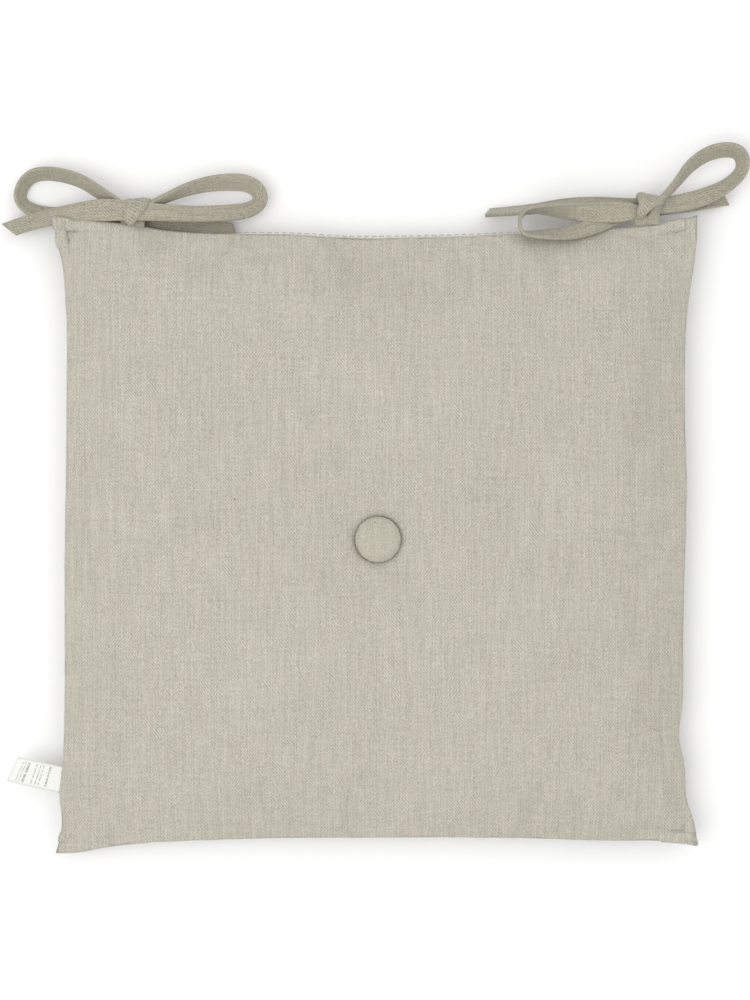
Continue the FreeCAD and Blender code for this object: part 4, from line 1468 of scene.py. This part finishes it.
def make_label(colours):
    """A satin ribbon folded double, its ends caught in the left seam, with a slight curl."""
    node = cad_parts["care_label"]
    corners = np.array([vertex.co for vertex in node.data.vertices])
    centre = corners.mean(axis=0)
    root = np.array([-194.3, -148.6, SEAM_HEIGHT / MM]) * MM
    outward = np.array([centre[0] - root[0], centre[1] - root[1], 0.0])
    outward /= np.linalg.norm(outward)
    side = np.array([-outward[1], outward[0], 0.0])
    width = 16.2 * MM
    length = 31.5 * MM
    ply = 0.24 * MM
    gap = 0.32 * MM
    skew = 0.11  # the fold lies a little aslant
    steps = np.linspace(0, 1, 27)
    path, travelled = [], []
    for level, places in ((1, steps), (-1, steps[::-1])):
        for place in places:
            bow = 0.9 * MM * math.sin(math.pi * place * 0.9)
            spread_apart = gap * (0.35 + 0.65 * math.sin(math.pi * min(1.0, place * 1.02)) ** 0.8)
            path.append((place * length, bow + level * spread_apart))
            travelled.append(place * length)
    path = np.array(path)
    columns = 9
    points, ribbon = [], []
    for k, (along, height) in enumerate(path):
        step = path[min(k + 1, len(path) - 1)] - path[max(k - 1, 0)]
        step /= np.linalg.norm(step)
        lift = np.array([-step[1], step[0]])
        for layer in (1, -1):
            for c in range(columns):
                place = (c / (columns - 1) - 0.5) * width
                cup = 0.35 * MM * (2 * place / width) ** 2 * (along / length)
                x = along * (1 + skew * place / width) + lift[0] * layer * ply / 2
                z = height + lift[1] * layer * ply / 2 + cup
                points.append(root + outward * x + side * place + np.array([0, 0, z]))
                ribbon.append((travelled[k] / MM, place / MM))
    stride = 2 * columns
    faces = []
    for k in range(len(path) - 1):
        for c in range(columns - 1):
            a = k * stride + c
            faces.append((a, a + 1, a + stride + 1, a + stride))
            b = a + columns
            faces.append((b, b + stride, b + stride + 1, b + 1))
        for c in (0, columns - 1):
            a = k * stride + c
            quad = (a, a + stride, a + stride + columns, a + columns)
            faces.append(quad if c == 0 else quad[::-1])
    for k in (0, len(path) - 1):
        for c in range(columns - 1):
            a = k * stride + c
            quad = (a, a + columns, a + columns + 1, a + 1)
            faces.append(quad if k == 0 else quad[::-1])
    mesh = make_mesh("care_label_ribbon", points, faces)
    outwards(mesh)
    flat = mesh.uv_layers.new(name="Ribbon")
    for loop in mesh.loops:
        flat.data[loop.index].uv = ribbon[loop.vertex_index]
    piece = show("care_label_ribbon", mesh)
    finish_piece(piece, label_material(colours.label, width), "label", ["care_label"])


# ---------------------------------------------------------------- operators and panel


class CUSHION_OT_stage(bpy.types.Operator):
    """Set the floor, the soft lights and the camera"""

    bl_idname = "cushion.stage"
    bl_label = "Stage"

    def execute(self, context):
        set_stage()
        return {"FINISHED"}


class CUSHION_OT_ties(bpy.types.Operator):
    """Make the four tie tapes and the wrap of each bow"""

    bl_idname = "cushion.ties"
    bl_label = "Ties"

    def execute(self, context):
        make_ties(context.scene.tie_sizes, context.scene.cloth_colours)
        return {"FINISHED"}


class CUSHION_OT_cover(bpy.types.Operator):
    """Make the top and bottom panels of the cover"""

    bl_idname = "cushion.cover"
    bl_label = "Cover"

    def execute(self, context):
        make_cover(context.scene.cushion_sizes, context.scene.cloth_colours)
        return {"FINISHED"}


class CUSHION_OT_wadding(bpy.types.Operator):
    """Make the three layers of wadding"""

    bl_idname = "cushion.wadding"
    bl_label = "Wadding"

    def execute(self, context):
        make_wadding(context.scene.cushion_sizes)
        return {"FINISHED"}


class CUSHION_OT_buttons(bpy.types.Operator):
    """Make the cloth caps of the buttons and finish their metal parts"""

    bl_idname = "cushion.buttons"
    bl_label = "Buttons"

    def execute(self, context):
        make_buttons(context.scene.cloth_colours)
        return {"FINISHED"}


class CUSHION_OT_threads(bpy.types.Operator):
    """Make the tufting twine, the closing stitches and the overlocked edge"""

    bl_idname = "cushion.threads"
    bl_label = "Threads"

    def execute(self, context):
        make_twine()
        make_threads(context.scene.cloth_colours)
        return {"FINISHED"}


class CUSHION_OT_label(bpy.types.Operator):
    """Make the folded care label"""

    bl_idname = "cushion.label"
    bl_label = "Care label"

    def execute(self, context):
        make_label(context.scene.cloth_colours)
        return {"FINISHED"}


STEPS = (
    CUSHION_OT_stage, CUSHION_OT_ties, CUSHION_OT_cover, CUSHION_OT_wadding, CUSHION_OT_buttons,
    CUSHION_OT_threads, CUSHION_OT_label,
)


class CUSHION_PT_parts(bpy.types.Panel):
    """Lists the steps that make the cushion"""

    bl_idname = "CUSHION_PT_parts"
    bl_label = "Tied cushion"
    bl_space_type = "VIEW_3D"
    bl_region_type = "UI"
    bl_category = "Cushion"

    def draw(self, context):
        for step in STEPS:
            self.layout.operator(step.bl_idname)
        for group in (context.scene.cushion_sizes, context.scene.tie_sizes, context.scene.cloth_colours):
            for name in group.bl_rna.properties.keys():
                if name not in ("rna_type", "name"):
                    self.layout.prop(group, name)


CLASSES = (CushionSizes, TieSizes, ClothColours, *STEPS, CUSHION_PT_parts)


def register():
    for each in CLASSES:
        bpy.utils.register_class(each)
    bpy.types.Scene.cushion_sizes = PointerProperty(type=CushionSizes)
    bpy.types.Scene.tie_sizes = PointerProperty(type=TieSizes)
    bpy.types.Scene.cloth_colours = PointerProperty(type=ClothColours)


def unregister():
    del bpy.types.Scene.cushion_sizes
    del bpy.types.Scene.tie_sizes
    del bpy.types.Scene.cloth_colours
    for each in reversed(CLASSES):
        bpy.utils.unregister_class(each)


def main():
    register()
    bpy.ops.cushion.stage()
    bpy.ops.cushion.ties()
    bpy.ops.cushion.cover()
    bpy.ops.cushion.wadding()
    bpy.ops.cushion.buttons()
    bpy.ops.cushion.threads()
    bpy.ops.cushion.label()


if __name__ == "__main__":
    main()
